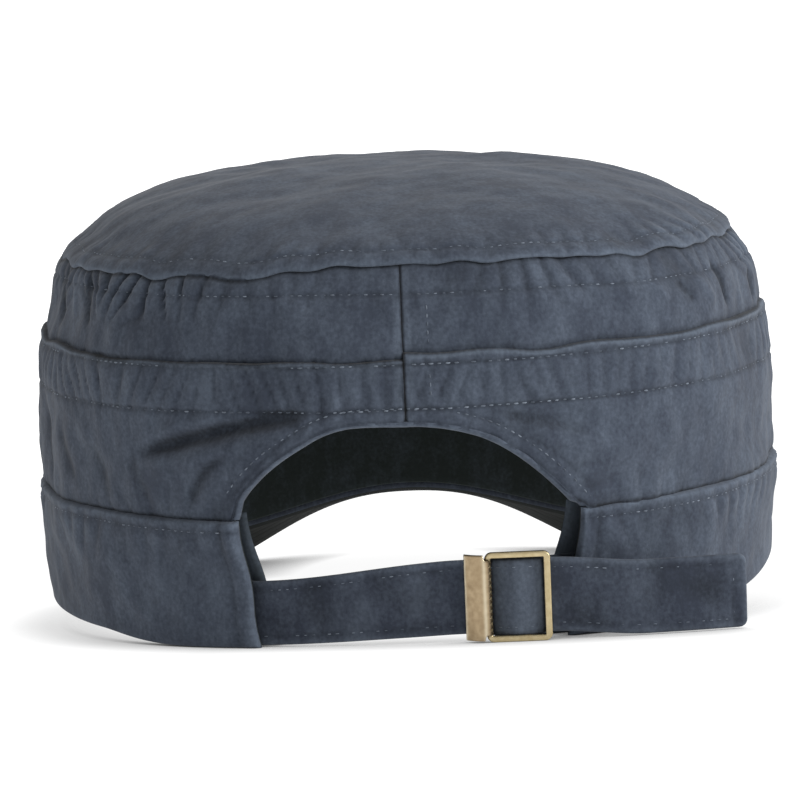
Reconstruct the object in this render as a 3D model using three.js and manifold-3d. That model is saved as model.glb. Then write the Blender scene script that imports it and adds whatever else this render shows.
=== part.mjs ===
// Patrol cap with an arched back opening, a cloth strap and a brass clamp buckle.
// Millimetres. The hat's own axes: +Z up, the peak points to -Y, the opening is at +Y,
// the wearer's left is +X. The whole cap is then leaned back onto the surface it rests on.

import * as THREE from 'three';
import Module from 'manifold-3d';
import { mergeVertices } from 'three/addons/utils/BufferGeometryUtils.js';

const wasm = await Module();
wasm.setup();

// Head opening and wall
const HALF_WIDTH = 90.8; // inside of the wall, side to centre, at its widest
const HALF_DEPTH = 95.4; // inside of the wall, back to centre, at its widest
const PLAN_POWER = 2.2; // 2 is an ellipse in plan, more is squarer
const WALL_HEIGHT = 88.5; // rim to crown seam
const BAND_HEIGHT = 30; // rim to the top edge of the bottom band
const MIDDLE_HEIGHT = 68.4; // rim to the top edge of the middle band
const CROWN_RISE = 18; // dome of the top panel over its seam
const CROWN_POWER = 2.5; // larger keeps the dome flat further out
const CROWN_ROUND = 0.7; // smaller turns the dome down more sharply at the seam
const CROWN_LIP = 1.0; // how far the top panel stands out over the wall

// Cloth thicknesses and the gap between pieces that touch
const UPPER_CLOTH = 1.6;
const MIDDLE_CLOTH = 2.5;
const FACING_CLOTH = 2.9;
const BAND_CLOTH = 3.2;
const SWEAT_CLOTH = 1.3;
const CROWN_CLOTH = 1.8;
const STRAP_CLOTH = 1.7;
const KEEPER_CLOTH = 1.0;
const KEEPER_PLAY = 0.15; // room round the crossbar inside the keeper's turn
const GAP = 0.3;

// Opening at the back
const ARCH_HALF = 39.5; // half the width of the opening at the band's top edge
const ARCH_RISE = 21.4; // height of the opening over the band's top edge
const ARCH_SHOULDER = 2.4; // the arch stands this much fuller on the wearer's left
const OPENING_FOOT = 36.2; // half the width of the opening at the rim
const FACING_TOP = 5.0; // width of the facing at the top of the arch
const FACING_SIDE = 12.0; // width of the facing at the band's top edge
const TAB_LENGTH = 2.4; // how far the sweatband's ends show past the band's ends
const TAB_FLARE = 3.9; // room opened behind the band's ends for the strap's sewn end
const TAB_FLARE_ANGLE = 12; // degrees round the cap that the flare takes

// How the cap lies on a surface
const LEAN = 5.0; // degrees that the front is raised, on the peak
const REST_DEPTH = 99.0; // where the surface passes under the back, from the centre
const REST_HEIGHT = 0.4; // height of that line over the rim's own plane

// Peak
const PEAK_LENGTH = 62;
const PEAK_THICKNESS = 2.8;
const PEAK_ANGLE = 63; // degrees from the front centre to each end of the peak
const PEAK_SPLAY = 0.22; // how far its sides lean out as they run forward
const PEAK_ROUND = 0.55; // smaller keeps the outer edge square further out
const PEAK_ARCH = 17.5; // height of the outer edge's middle over the surface
const PEAK_ARCH_HALF = 56; // half the width of that arch where it meets the surface
const PEAK_ARCH_POWER = 2.4;
const PEAK_ARCH_EASE = 1.6;
const PEAK_BULGE = 2.0;
const PEAK_SLOPE = 1.15; // larger keeps the rim's height further out along the peak
const PEAK_TIP = 0.985; // share of PEAK_ANGLE at which its two tips are cut off
const PEAK_EDGE_ROUND = 0.8; // how far the upper side turns down at the outer edge
const RIM_RISE = 8.5; // the rim lifts this much at the front centre, over the peak
const RIM_RISE_HALF = 58;

// Strap, keeper and buckle
const STRAP_WIDTH = 17.6; // the frame's window leaves it a little play
const STRAP_ROOT_WIDTH = 15.4; // it is a little narrower where it is sewn in
const STRAP_LIFT = 1.9; // its lower edge over the surface, at the buckle
const ROOT_SLACK = 0.25; // sewn ends lie this much further in than the gap needs
const MOUTH_SLACK = 0.1; // the same, where they come out past the band's ends
const STRAP_FLOOR_LIFT = 0.35; // its lower edge over the surface elsewhere
const TAIL_LENGTH = 47; // free end past the buckle
const TAIL_TURN = 9; // degrees that the free end leans back to the wall
const TAIL_CORNER = 3;
const BUCKLE_SIDE = 17.6; // from the centre to the hinge bar, on the wearer's right
const BUCKLE_STAND = 4.5; // hinge bar's height over the wall's inside line
const FRAME_WIDTH = 15.4;
const FRAME_HEIGHT = 21.2;
const FRAME_BAR = 1.6;
const FRAME_END_BAR = 1.4;
const FRAME_THICKNESS = 1.5;
const FRAME_CORNER = 1.6;
const PIN_RADIUS = 0.75;
const CROSSBAR_AT = 6.6; // from the hinge bar, along the strap
const CROSSBAR_BACK = 3.7; // behind the frame's middle
const CROSSBAR_RADIUS = 0.7;
const LEVER_REACH = 5.3; // hinge bar to the lever's free edge
const LEVER_HEIGHT = 20.4;
const LEVER_SHEET = 0.8;
const LEVER_DROP = 1.6; // how far the free edge lies below the hinge bar's centre
const TOOTH_PITCH = 1.5;
const TOOTH_DEPTH = 0.8;

// How finely each surface is cut into facets
const CROWN_AROUND = 72;
const CROWN_RINGS = 8;
const HALF_AROUND = 38;
const ARCH_AROUND = 10;
const UPPER_ROWS = 3;
const MIDDLE_ROWS = 5;
const BAND_AROUND = 64;
const BAND_ROWS = 3;
const PEAK_ACROSS = 36;
const PEAK_ROWS = 7;
const STRAP_STEPS = 44;

// The wall's sections, from the rim up: height as a share of WALL_HEIGHT,
// width and depth as shares of HALF_WIDTH and HALF_DEPTH
const WALL_SECTIONS = [
  { up: 0.0, size: 0.978 },
  { up: 0.17, size: 0.988 },
  { up: 0.34, size: 0.996 },
  { up: 0.54, size: 1.0 },
  { up: 0.72, size: 0.99 },
  { up: 0.82, size: 0.978 },
  { up: 0.91, size: 0.955 },
  { up: 1.0, size: 0.908 },
];

// The main folds and dents of the cloth. angle is degrees round from the back centre,
// towards the wearer's left; up is a share of WALL_HEIGHT; wide is degrees, tall a share
// of WALL_HEIGHT; slant is the share of WALL_HEIGHT that the fold climbs per 10 degrees
// towards the back centre; deep is a share of MIDDLE_CLOTH, negative where it stands out.
const FOLDS = [
  { angle: 27, up: 0.575, wide: 10, tall: 0.035, slant: 0.055, deep: 0.7 },
  { angle: 30, up: 0.505, wide: 11, tall: 0.045, slant: 0.05, deep: -0.4 },
  { angle: -20, up: 0.6, wide: 9, tall: 0.04, slant: 0.045, deep: 0.45 },
  { angle: -27, up: 0.5, wide: 11, tall: 0.06, slant: 0.04, deep: -0.35 },
  { angle: 52, up: 0.46, wide: 8, tall: 0.09, slant: 0.02, deep: 0.35 },
  { angle: 70, up: 0.55, wide: 7, tall: 0.13, slant: -0.05, deep: 0.4 },
  { angle: -58, up: 0.48, wide: 9, tall: 0.08, slant: 0.02, deep: 0.3 },
  { angle: 62, up: 0.87, wide: 5, tall: 0.06, slant: 0.04, deep: 0.35 },
  { angle: 74, up: 0.86, wide: 4.5, tall: 0.07, slant: 0.05, deep: 0.4 },
  { angle: 45, up: 0.88, wide: 4, tall: 0.05, slant: 0, deep: 0.25 },
  { angle: -66, up: 0.86, wide: 5, tall: 0.07, slant: -0.04, deep: 0.4 },
  { angle: -78, up: 0.84, wide: 5, tall: 0.08, slant: -0.05, deep: 0.4 },
];

const DEGREE = Math.PI / 180;

// A smooth step from 0 at a to 1 at b
function ease(value, a, b) {
  const t = THREE.MathUtils.clamp((value - a) / (b - a), 0, 1);
  return t * t * (3 - 2 * t);
}

// Size share of the wall at a height share, eased between the table's rows
const sizeCurve = new THREE.SplineCurve(WALL_SECTIONS.map((row) => new THREE.Vector2(row.up, row.size)));
const sizeSamples = sizeCurve.getPoints(140);
function sizeShare(up) {
  const at = THREE.MathUtils.clamp(up, 0, 1);
  let next = sizeSamples.findIndex((point) => point.x >= at);
  if (next < 1) {
    next = 1;
  }
  const low = sizeSamples[next - 1];
  const high = sizeSamples[next];
  const t = (at - low.x) / (high.x - low.x || 1);
  return THREE.MathUtils.lerp(low.y, high.y, THREE.MathUtils.clamp(t, 0, 1));
}

// How far the folds press the wall in at an angle (radians) and height share
function foldDepth(angle, up) {
  const degrees = Math.atan2(Math.sin(angle), Math.cos(angle)) / DEGREE;
  let depth = 0;
  for (const fold of FOLDS) {
    const round = degrees - fold.angle;
    const climb = up - fold.up + (Math.sign(fold.angle) * round * fold.slant) / 10;
    const fade = (round / fold.wide) ** 2 + (climb / fold.tall) ** 2;
    depth += fold.deep * Math.exp(-fade);
  }
  return depth * MIDDLE_CLOTH * ease(up * WALL_HEIGHT, BAND_HEIGHT, BAND_HEIGHT + 8);
}

// A point of the plan outline at an angle from the back, pushed out along its normal
function planPoint(angle, share, out) {
  const a = HALF_WIDTH * share;
  const b = HALF_DEPTH * share;
  const s = Math.sin(angle);
  const c = Math.cos(angle);
  const n = PLAN_POWER;
  const r = ((Math.abs(s) / a) ** n + (Math.abs(c) / b) ** n) ** (-1 / n);
  const nx = (Math.sign(s) * Math.abs(s / a) ** (n - 1)) / a;
  const ny = (Math.sign(c) * Math.abs(c / b) ** (n - 1)) / b;
  const length = Math.hypot(nx, ny);
  return new THREE.Vector2(r * s + (out * nx) / length, r * c + (out * ny) / length);
}

// A point of the wall: angle, height over the rim's plane, and distance out of its inside
function wallPoint(angle, z, out, folded = true) {
  const up = z / WALL_HEIGHT;
  const press = folded ? foldDepth(angle, up) : 0;
  const plan = planPoint(angle, sizeShare(up), out - press);
  return new THREE.Vector3(plan.x, plan.y, z);
}

// The angle at which the wall's inside has a given x, on the back half
function angleAt(x, z) {
  let low = 0;
  let high = Math.PI / 2;
  for (let step = 0; step < 40; step += 1) {
    const middle = (low + high) / 2;
    if (wallPoint(middle, z, 0, false).x < Math.abs(x)) {
      low = middle;
    } else {
      high = middle;
    }
  }
  return Math.sign(x) * low;
}

// Height of the resting surface over the rim's plane, at a depth
function surfaceAt(y) {
  return REST_HEIGHT + (y - REST_DEPTH) * Math.tan(LEAN * DEGREE);
}

// Lower edge of the rim: down on the surface at the back, raised at the front centre
function rimHeight(x, y) {
  if (y > 0) {
    return surfaceAt(y) * ease(y / HALF_DEPTH, 0.62, 0.87);
  }
  const t = THREE.MathUtils.clamp(x / RIM_RISE_HALF, -1, 1);
  return RIM_RISE * Math.cos((t * Math.PI) / 2) ** 2;
}

// Height of the arched opening over the band's top edge: an arc of a circle with a given
// half chord and rise, with a fuller shoulder on the wearer's left
function archHeight(x, half, rise) {
  const radius = (half * half + rise * rise) / (2 * rise);
  const reach = Math.max(0, radius * radius - x * x);
  const t = THREE.MathUtils.clamp(x / half, 0, 1);
  const shoulder = ARCH_SHOULDER * Math.sin(Math.PI * t) ** 2;
  return Math.sqrt(reach) - (radius - rise) + shoulder;
}

// One closed body from rows of quads, with equal corners merged and faces turned outwards
function closedBody(quads) {
  const points = [];
  const found = new Map();
  const indexOf = (point) => {
    const key = `${point.x.toFixed(4)},${point.y.toFixed(4)},${point.z.toFixed(4)}`;
    if (!found.has(key)) {
      found.set(key, points.length);
      points.push(point);
    }
    return found.get(key);
  };
  const faces = [];
  const addFace = (a, b, c) => {
    if (a !== b && b !== c && c !== a) {
      faces.push([a, b, c]);
    }
  };
  for (const quad of quads) {
    const [a, b, c, d] = quad.map(indexOf);
    addFace(a, b, c);
    addFace(a, c, d);
  }
  let volume = 0;
  for (const [a, b, c] of faces) {
    volume += points[a].dot(new THREE.Vector3().crossVectors(points[b], points[c]));
  }
  const index = volume < 0 ? faces.flatMap(([a, b, c]) => [a, c, b]) : faces.flat();
  const geometry = new THREE.BufferGeometry();
  geometry.setAttribute('position', new THREE.Float32BufferAttribute(points.flatMap((p) => p.toArray()), 3));
  geometry.setIndex(index);
  geometry.computeVertexNormals();
  return geometry;
}

// A sheet with thickness: outer(u, v) and inner(u, v) over two lists of steps
function sheet(outer, inner, us, vs, ring = false) {
  const grid = (surface) => us.map((u) => vs.map((v) => surface(u, v)));
  const out = grid(outer);
  const back = grid(inner);
  const quads = [];
  const last = us.length - 1;
  const top = vs.length - 1;
  const turns = ring ? us.length : last;
  for (let i = 0; i < turns; i += 1) {
    const j = (i + 1) % us.length;
    for (let k = 0; k < top; k += 1) {
      quads.push([out[i][k], out[i][k + 1], out[j][k + 1], out[j][k]]);
      quads.push([back[i][k], back[j][k], back[j][k + 1], back[i][k + 1]]);
    }
    quads.push([out[i][0], out[j][0], back[j][0], back[i][0]]);
    quads.push([out[i][top], back[i][top], back[j][top], out[j][top]]);
  }
  if (!ring) {
    for (let k = 0; k < top; k += 1) {
      quads.push([out[0][k], back[0][k], back[0][k + 1], out[0][k + 1]]);
      quads.push([out[last][k], out[last][k + 1], back[last][k + 1], back[last][k]]);
    }
  }
  return closedBody(quads);
}

// Even steps from a to b
function steps(a, b, count) {
  return Array.from({ length: count + 1 }, (_, i) => a + ((b - a) * i) / count);
}

function toSolid(geometry) {
  const bare = geometry.clone();
  bare.deleteAttribute('normal');
  bare.deleteAttribute('uv');
  const merged = mergeVertices(bare, 1e-5);
  return new wasm.Manifold(
    new wasm.Mesh({
      numProp: 3,
      vertProperties: new Float32Array(merged.attributes.position.array),
      triVerts: new Uint32Array(merged.index.array),
    }),
  );
}

function toGeometry(solid) {
  const mesh = solid.getMesh();
  const geometry = new THREE.BufferGeometry();
  geometry.setAttribute('position', new THREE.BufferAttribute(new Float32Array(mesh.vertProperties), 3));
  geometry.setIndex(new THREE.BufferAttribute(new Uint32Array(mesh.triVerts), 1));
  geometry.computeVertexNormals();
  return geometry;
}

const cloth = { color: 0x4b535c, roughness: 0.92, metalness: 0 };
const lining = { color: 0x2a3134, roughness: 0.95, metalness: 0 };
const brass = { color: 0xb09a70, roughness: 0.38, metalness: 1 };

const cap = new THREE.Group();

function add(name, geometry, look) {
  const mesh = new THREE.Mesh(geometry, new THREE.MeshStandardMaterial(look));
  mesh.name = name;
  cap.add(mesh);
  return mesh;
}

// Crown: a dome whose edge stands out over the wall
function crownPoint(angle, v, out) {
  const share = sizeShare(1);
  const reach = 1 - v;
  const edge = planPoint(angle, share, UPPER_CLOTH + CROWN_LIP - CROWN_CLOTH + out);
  const rise = CROWN_RISE - CROWN_CLOTH + out;
  const dome = (1 - reach ** CROWN_POWER) ** CROWN_ROUND;
  return new THREE.Vector3(edge.x * reach, edge.y * reach, WALL_HEIGHT + rise * dome);
}
const crownSteps = [0, 0.012, 0.045, 0.1, 0.19, 0.32, 0.5, 0.74, 1];
add(
  'crown_top',
  sheet(
    (u, v) => crownPoint(u, v, CROWN_CLOTH),
    (u, v) => crownPoint(u, v, 0),
    steps(0, 2 * Math.PI, CROWN_AROUND).slice(0, -1),
    crownSteps.slice(0, CROWN_RINGS + 1),
    true,
  ),
  cloth,
);

// The wall is made in two halves, joined at the back and front centres
const seamAngle = GAP / 2 / HALF_DEPTH;
const cornerAngle = angleAt(ARCH_HALF + FACING_SIDE + GAP, BAND_HEIGHT);
const halves = [
  { side: 1, name: 'left' },
  { side: -1, name: 'right' },
];
for (const { side, name } of halves) {
  const around = steps(seamAngle, Math.PI - seamAngle, HALF_AROUND);
  const heightAt = (v) => THREE.MathUtils.lerp(MIDDLE_HEIGHT + GAP, WALL_HEIGHT - GAP, v);
  add(
    `upper_wall_${name}`,
    sheet(
      (u, v) => wallPoint(side * u, heightAt(v), UPPER_CLOTH),
      (u, v) => wallPoint(side * u, heightAt(v), 0),
      around,
      steps(0, 1, UPPER_ROWS),
    ),
    cloth,
  );
}

// The middle band's lower edge runs over the facing of the arch, then along the bottom band
const facingOuter = (x) => {
  const over = archHeight(x, ARCH_HALF + FACING_SIDE, ARCH_RISE + FACING_TOP);
  return BAND_HEIGHT + GAP + Math.max(0, over);
};
for (const { side, name } of halves) {
  const around = [
    ...steps(seamAngle, cornerAngle, ARCH_AROUND),
    ...steps(cornerAngle, Math.PI - seamAngle, HALF_AROUND - ARCH_AROUND).slice(1),
  ];
  const heightAt = (u, v) => {
    const x = wallPoint(u, BAND_HEIGHT, 0, false).x;
    const low = u < cornerAngle - 1e-6 ? facingOuter(side * x) + GAP : BAND_HEIGHT + GAP;
    return THREE.MathUtils.lerp(low, MIDDLE_HEIGHT, v);
  };
  add(
    `middle_band_${name}`,
    sheet(
      (u, v) => wallPoint(side * u, heightAt(u, v), MIDDLE_CLOTH),
      (u, v) => wallPoint(side * u, heightAt(u, v), 0),
      around,
      steps(0, 1, MIDDLE_ROWS),
    ),
    cloth,
  );
}

// Facing: a strip between the edge of the opening and a wider arc
function facingPoint(u, v, out) {
  const innerX = ARCH_HALF * u;
  const outerX = (ARCH_HALF + FACING_SIDE) * u;
  const innerZ = BAND_HEIGHT + GAP + archHeight(innerX, ARCH_HALF, ARCH_RISE);
  const outerZ = facingOuter(outerX);
  const x = THREE.MathUtils.lerp(innerX, outerX, v);
  const z = THREE.MathUtils.lerp(innerZ, outerZ, v);
  return wallPoint(angleAt(x, z), z, out);
}
const archSteps = steps(-1, 1, 2 * ARCH_AROUND + 6).map((u) => Math.sin((u * Math.PI) / 2));
add(
  'arch_facing',
  sheet(
    (u, v) => facingPoint(u, v, FACING_CLOTH),
    (u, v) => facingPoint(u, v, 0),
    archSteps,
    steps(0, 1, 2),
  ),
  cloth,
);

// Bottom band and sweatband run round the front from one end of the opening to the other
function bandAngle(u, z, inset) {
  const t = THREE.MathUtils.clamp(z / BAND_HEIGHT, 0, 1);
  const x = THREE.MathUtils.lerp(OPENING_FOOT, ARCH_HALF, t) - inset;
  const end = angleAt(x, BAND_HEIGHT);
  return THREE.MathUtils.lerp(end, 2 * Math.PI - end, u);
}
function bandPoint(u, v, out, inset, top) {
  const high = top * v;
  const angle = bandAngle(u, high, inset);
  const foot = wallPoint(angle, 0, out, false);
  const z = THREE.MathUtils.lerp(rimHeight(foot.x, foot.y), top, v);
  return wallPoint(angle, z, out, false);
}
const bandTop = BAND_HEIGHT;
add(
  'bottom_band',
  sheet(
    (u, v) => bandPoint(u, v, BAND_CLOTH, 0, bandTop),
    (u, v) => bandPoint(u, v, 0, 0, bandTop),
    steps(0, 1, BAND_AROUND),
    steps(0, 1, BAND_ROWS),
  ),
  cloth,
);

const sweatFlare = (u) => {
  const fromEnd = Math.min(u, 1 - u) * 360;
  return TAB_FLARE * (1 - ease(fromEnd, TAB_FLARE_ANGLE / 3, TAB_FLARE_ANGLE));
};
const sweatEnds = [0, 0.008, 0.016, 0.024, 0.034];
const sweatSteps = [...sweatEnds, ...steps(0.05, 0.95, 44), ...sweatEnds.map((u) => 1 - u).reverse()];
function sweatPoint(u, v, out) {
  const point = bandPoint(u, v, out - GAP - sweatFlare(u), TAB_LENGTH, BAND_HEIGHT + 1);
  return point;
}
add(
  'sweatband',
  sheet(
    (u, v) => sweatPoint(u, v, 0),
    (u, v) => sweatPoint(u, v, -SWEAT_CLOTH),
    sweatSteps,
    steps(0, 1, 2),
  ),
  lining,
);

// Peak: from under the rim out to an arched edge whose corners lie on the surface
function peakEnd(u) {
  const angle = Math.PI - u * PEAK_ANGLE * DEGREE;
  return planPoint(angle, sizeShare(0), BAND_CLOTH - 0.4);
}
function peakLift(u, x) {
  const t = Math.min(1, Math.abs(x) / PEAK_ARCH_HALF);
  const arch = PEAK_ARCH * (1 - t ** PEAK_ARCH_POWER) ** PEAK_ARCH_EASE;
  const end = peakEnd(u);
  const corner = rimHeight(end.x, end.y) - GAP - PEAK_THICKNESS - surfaceAt(end.y);
  return arch + corner * ease(Math.abs(u), 0.8, 1);
}
function peakPoint(u, v, out) {
  const start = peakEnd(u);
  const back = planPoint(Math.PI - u * PEAK_ANGLE * DEGREE, sizeShare(0), 0.4);
  const length = PEAK_LENGTH * Math.max(0, Math.cos((u * Math.PI) / 2)) ** PEAK_ROUND;
  const splay = length * PEAK_SPLAY * Math.sin(u * PEAK_ANGLE * DEGREE);
  const edge = new THREE.Vector2(start.x + splay, start.y - length);
  const rim = rimHeight(start.x, start.y) - GAP - PEAK_THICKNESS;
  if (v < 0) {
    return new THREE.Vector3(back.x, back.y, rimHeight(back.x, back.y) - GAP - PEAK_THICKNESS + out);
  }
  const plan = start.clone().lerp(edge, v);
  const rimLift = rim - surfaceAt(start.y);
  const rise = PEAK_BULGE * Math.sin(Math.PI * v) * (1 - u * u);
  const lift = THREE.MathUtils.lerp(rimLift, peakLift(u, edge.x), v ** PEAK_SLOPE) + rise;
  const turnDown = out > 0 ? ease(v, 0.94, 1) * PEAK_EDGE_ROUND : 0;
  return new THREE.Vector3(plan.x, plan.y, surfaceAt(plan.y) + Math.max(lift, 0) + out - turnDown);
}
add(
  'peak',
  sheet(
    (u, v) => peakPoint(u, v, PEAK_THICKNESS),
    (u, v) => peakPoint(u, v, 0),
    steps(-1, 1, PEAK_ACROSS).map((u) => Math.sin((u * Math.PI) / 2) * PEAK_TIP),
    [-1, ...steps(0, 1, PEAK_ROWS)],
  ),
  cloth,
);

// Places at the buckle: p runs along the strap towards the wearer's right, q stands out
const buckleY = wallPoint(angleAt(-BUCKLE_SIDE, BAND_HEIGHT), 10, 0, false).y + BUCKLE_STAND;
const atBuckle = (p, q) => new THREE.Vector2(-BUCKLE_SIDE - p, buckleY + q);
const leverClear = -(PIN_RADIUS + GAP + LEVER_SHEET + TOOTH_DEPTH / 2 + GAP) - STRAP_CLOTH / 2;
const keeperRadius = CROSSBAR_RADIUS + KEEPER_PLAY + KEEPER_CLOTH;
const overCrossbar = -CROSSBAR_BACK + keeperRadius + GAP + STRAP_CLOTH / 2;
const underFrame = -FRAME_THICKNESS / 2 - GAP - STRAP_CLOTH / 2;
const rootAngle = angleAt(OPENING_FOOT + 4, BAND_HEIGHT);
const rootOut = -GAP - STRAP_CLOTH / 2;
const mouthAngle = angleAt(OPENING_FOOT - 1, BAND_HEIGHT);
const rootPlan = planPoint(rootAngle, sizeShare(0), rootOut - ROOT_SLACK);
const mouthPlan = planPoint(mouthAngle, sizeShare(0), rootOut - MOUTH_SLACK);
const tailStart = FRAME_WIDTH - PIN_RADIUS - FRAME_BAR / 2;
const tailRoute = (distance) => {
  const bend = distance * Math.sin(TAIL_TURN * DEGREE) * (distance / TAIL_LENGTH);
  return atBuckle(tailStart + distance, underFrame + 0.4 - bend);
};
const strapRoute = new THREE.CatmullRomCurve3(
  [
    rootPlan,
    mouthPlan,
    atBuckle(-OPENING_FOOT - BUCKLE_SIDE + 20, leverClear - 2.6),
    atBuckle(-BUCKLE_SIDE, leverClear + 0.1),
    atBuckle(-LEVER_REACH - 3, leverClear),
    atBuckle(0, leverClear),
    atBuckle(CROSSBAR_AT * 0.5, (leverClear + overCrossbar) / 2 + 0.2),
    atBuckle(CROSSBAR_AT, overCrossbar),
    atBuckle((CROSSBAR_AT + tailStart) / 2, (overCrossbar + underFrame) / 2 + 0.1),
    atBuckle(tailStart, underFrame),
    tailRoute(TAIL_LENGTH * 0.2),
    tailRoute(TAIL_LENGTH * 0.45),
    tailRoute(TAIL_LENGTH * 0.72),
    tailRoute(TAIL_LENGTH),
  ].map((point) => new THREE.Vector3(point.x, point.y, 0)),
  false,
  'catmullrom',
  0.5,
);

// A strip standing on edge: its plan route, thickness, and its lower and upper edges
function strip(route, thickness, places, low, high) {
  const side = (u, out) => {
    const point = route.getPointAt(u);
    const along = route.getTangentAt(u);
    return new THREE.Vector2(point.x - along.y * out, point.y + along.x * out);
  };
  const place = (u, v, out) => {
    const plan = side(u, out);
    const middle = route.getPointAt(u);
    const z = THREE.MathUtils.lerp(low(u, middle), high(u, middle), v);
    return new THREE.Vector3(plan.x, plan.y, z);
  };
  return sheet(
    (u, v) => place(u, v, thickness / 2),
    (u, v) => place(u, v, -thickness / 2),
    places,
    [0, 1],
  );
}
const routeLength = strapRoute.getLength();
const tailCut = (u) => {
  const fromEnd = (1 - u) * routeLength;
  if (fromEnd >= TAIL_CORNER) {
    return 0;
  }
  return TAIL_CORNER - Math.sqrt(TAIL_CORNER ** 2 - (TAIL_CORNER - fromEnd) ** 2);
};
const strapLow = (u, at) => {
  const lift = THREE.MathUtils.lerp(STRAP_FLOOR_LIFT, STRAP_LIFT, ease(at.x, OPENING_FOOT, -BUCKLE_SIDE + 3));
  const drop = (STRAP_LIFT - STRAP_FLOOR_LIFT) * ease(-at.x, BUCKLE_SIDE + FRAME_WIDTH, BUCKLE_SIDE + FRAME_WIDTH + 22);
  return surfaceAt(at.y) + lift - drop + tailCut(u);
};
const strapHigh = (u, at) => {
  const wide = THREE.MathUtils.lerp(STRAP_ROOT_WIDTH, STRAP_WIDTH, ease(at.x, OPENING_FOOT, -BUCKLE_SIDE + 8));
  return strapLow(u, at) + wide - 2 * tailCut(u);
};
const cornerSteps = [0.75, 0.4, 0.12, 0].map((share) => 1 - (share * TAIL_CORNER) / routeLength);
const strapSteps = [...steps(0, 1 - TAIL_CORNER / routeLength, STRAP_STEPS), ...cornerSteps];
add('strap', strip(strapRoute, STRAP_CLOTH, strapSteps, strapLow, strapHigh), cloth);

// Keeper: from inside the right end of the band, round the rear crossbar and back on itself
const keeperOut = -GAP - KEEPER_CLOTH / 2;
const keeperRoot = planPoint(-rootAngle, sizeShare(0), keeperOut - ROOT_SLACK);
const keeperMouth = planPoint(-mouthAngle, sizeShare(0), keeperOut - MOUTH_SLACK);
const turn = (degrees) => {
  const r = CROSSBAR_RADIUS + KEEPER_PLAY + KEEPER_CLOTH / 2;
  return atBuckle(CROSSBAR_AT + r * Math.cos(degrees * DEGREE), -CROSSBAR_BACK + r * Math.sin(degrees * DEGREE));
};
const keeperRoute = new THREE.CatmullRomCurve3(
  [
    keeperRoot,
    keeperMouth,
    atBuckle(CROSSBAR_AT + 3.4, -CROSSBAR_BACK - 2.0),
    ...[-85, -130, 180, 130, 90, 50, 10].map(turn),
  ].map((point) => new THREE.Vector3(point.x, point.y, 0)),
  false,
  'catmullrom',
  0.4,
);
const keeperLow = (u, at) => surfaceAt(at.y) + FRAME_END_BAR + GAP + 0.4;
const keeperHigh = (u, at) => surfaceAt(at.y) + FRAME_HEIGHT - FRAME_END_BAR - GAP - 0.2;
add('keeper', strip(keeperRoute, KEEPER_CLOTH, steps(0, 1, 26), keeperLow, keeperHigh), cloth);

// Buckle: everything below is drawn with x along the strap, y out of it and z up,
// from the hinge bar's foot, and then stood at the back of the cap
const buckle = new THREE.Group();
buckle.position.set(-BUCKLE_SIDE, buckleY, surfaceAt(buckleY) + 0.1);
cap.add(buckle);

// A flat outline in p and q, stretched up from one height to another
function upright(shape, low, high) {
  const geometry = new THREE.ExtrudeGeometry(shape, { depth: high - low, bevelEnabled: false, curveSegments: 10 });
  geometry.translate(0, 0, low);
  return geometry;
}
function rod(radius, length, sides = 12) {
  const geometry = new THREE.CylinderGeometry(radius, radius, length, sides);
  geometry.rotateX(Math.PI / 2);
  geometry.translate(0, 0, length / 2);
  return geometry;
}
function roundedRectangle(x0, z0, x1, z1, r) {
  const shape = new THREE.Shape();
  shape.moveTo(x0 + r, z0);
  shape.lineTo(x1 - r, z0);
  shape.absarc(x1 - r, z0 + r, r, -Math.PI / 2, 0);
  shape.lineTo(x1, z1 - r);
  shape.absarc(x1 - r, z1 - r, r, 0, Math.PI / 2);
  shape.lineTo(x0 + r, z1);
  shape.absarc(x0 + r, z1 - r, r, Math.PI / 2, Math.PI);
  shape.lineTo(x0, z0 + r);
  shape.absarc(x0 + r, z0 + r, r, Math.PI, Math.PI * 1.5);
  return shape;
}
const frameLeft = -(FRAME_WIDTH - PIN_RADIUS);
function frameGeometry() {
  const outline = roundedRectangle(frameLeft, 0, PIN_RADIUS, FRAME_HEIGHT, FRAME_CORNER);
  const plate = new THREE.ExtrudeGeometry(outline, {
    depth: FRAME_THICKNESS,
    bevelEnabled: false,
    curveSegments: 4,
  });
  plate.rotateX(Math.PI / 2);
  plate.translate(0, FRAME_THICKNESS / 2, 0);
  const window = roundedRectangle(
    frameLeft + FRAME_BAR,
    FRAME_END_BAR,
    PIN_RADIUS + 2,
    FRAME_HEIGHT - FRAME_END_BAR,
    0.5,
  );
  const hole = new THREE.ExtrudeGeometry(window, { depth: 6, bevelEnabled: false, curveSegments: 3 });
  hole.rotateX(Math.PI / 2);
  hole.translate(0, 3, 0);
  const pin = rod(PIN_RADIUS, FRAME_HEIGHT - 0.4);
  pin.translate(0, 0, 0.2);
  const crossbar = rod(CROSSBAR_RADIUS, FRAME_HEIGHT - FRAME_END_BAR, 10);
  crossbar.translate(-CROSSBAR_AT, -CROSSBAR_BACK, FRAME_END_BAR / 2);
  let solid = toSolid(plate).subtract(toSolid(hole));
  solid = solid.add(toSolid(pin)).add(toSolid(crossbar));
  for (const z of [FRAME_END_BAR / 2, FRAME_HEIGHT - FRAME_END_BAR / 2]) {
    const leg = new THREE.BoxGeometry(2 * CROSSBAR_RADIUS, CROSSBAR_BACK, FRAME_END_BAR);
    leg.translate(-CROSSBAR_AT, -CROSSBAR_BACK / 2, z);
    solid = solid.add(toSolid(leg));
  }
  return toGeometry(solid);
}

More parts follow.
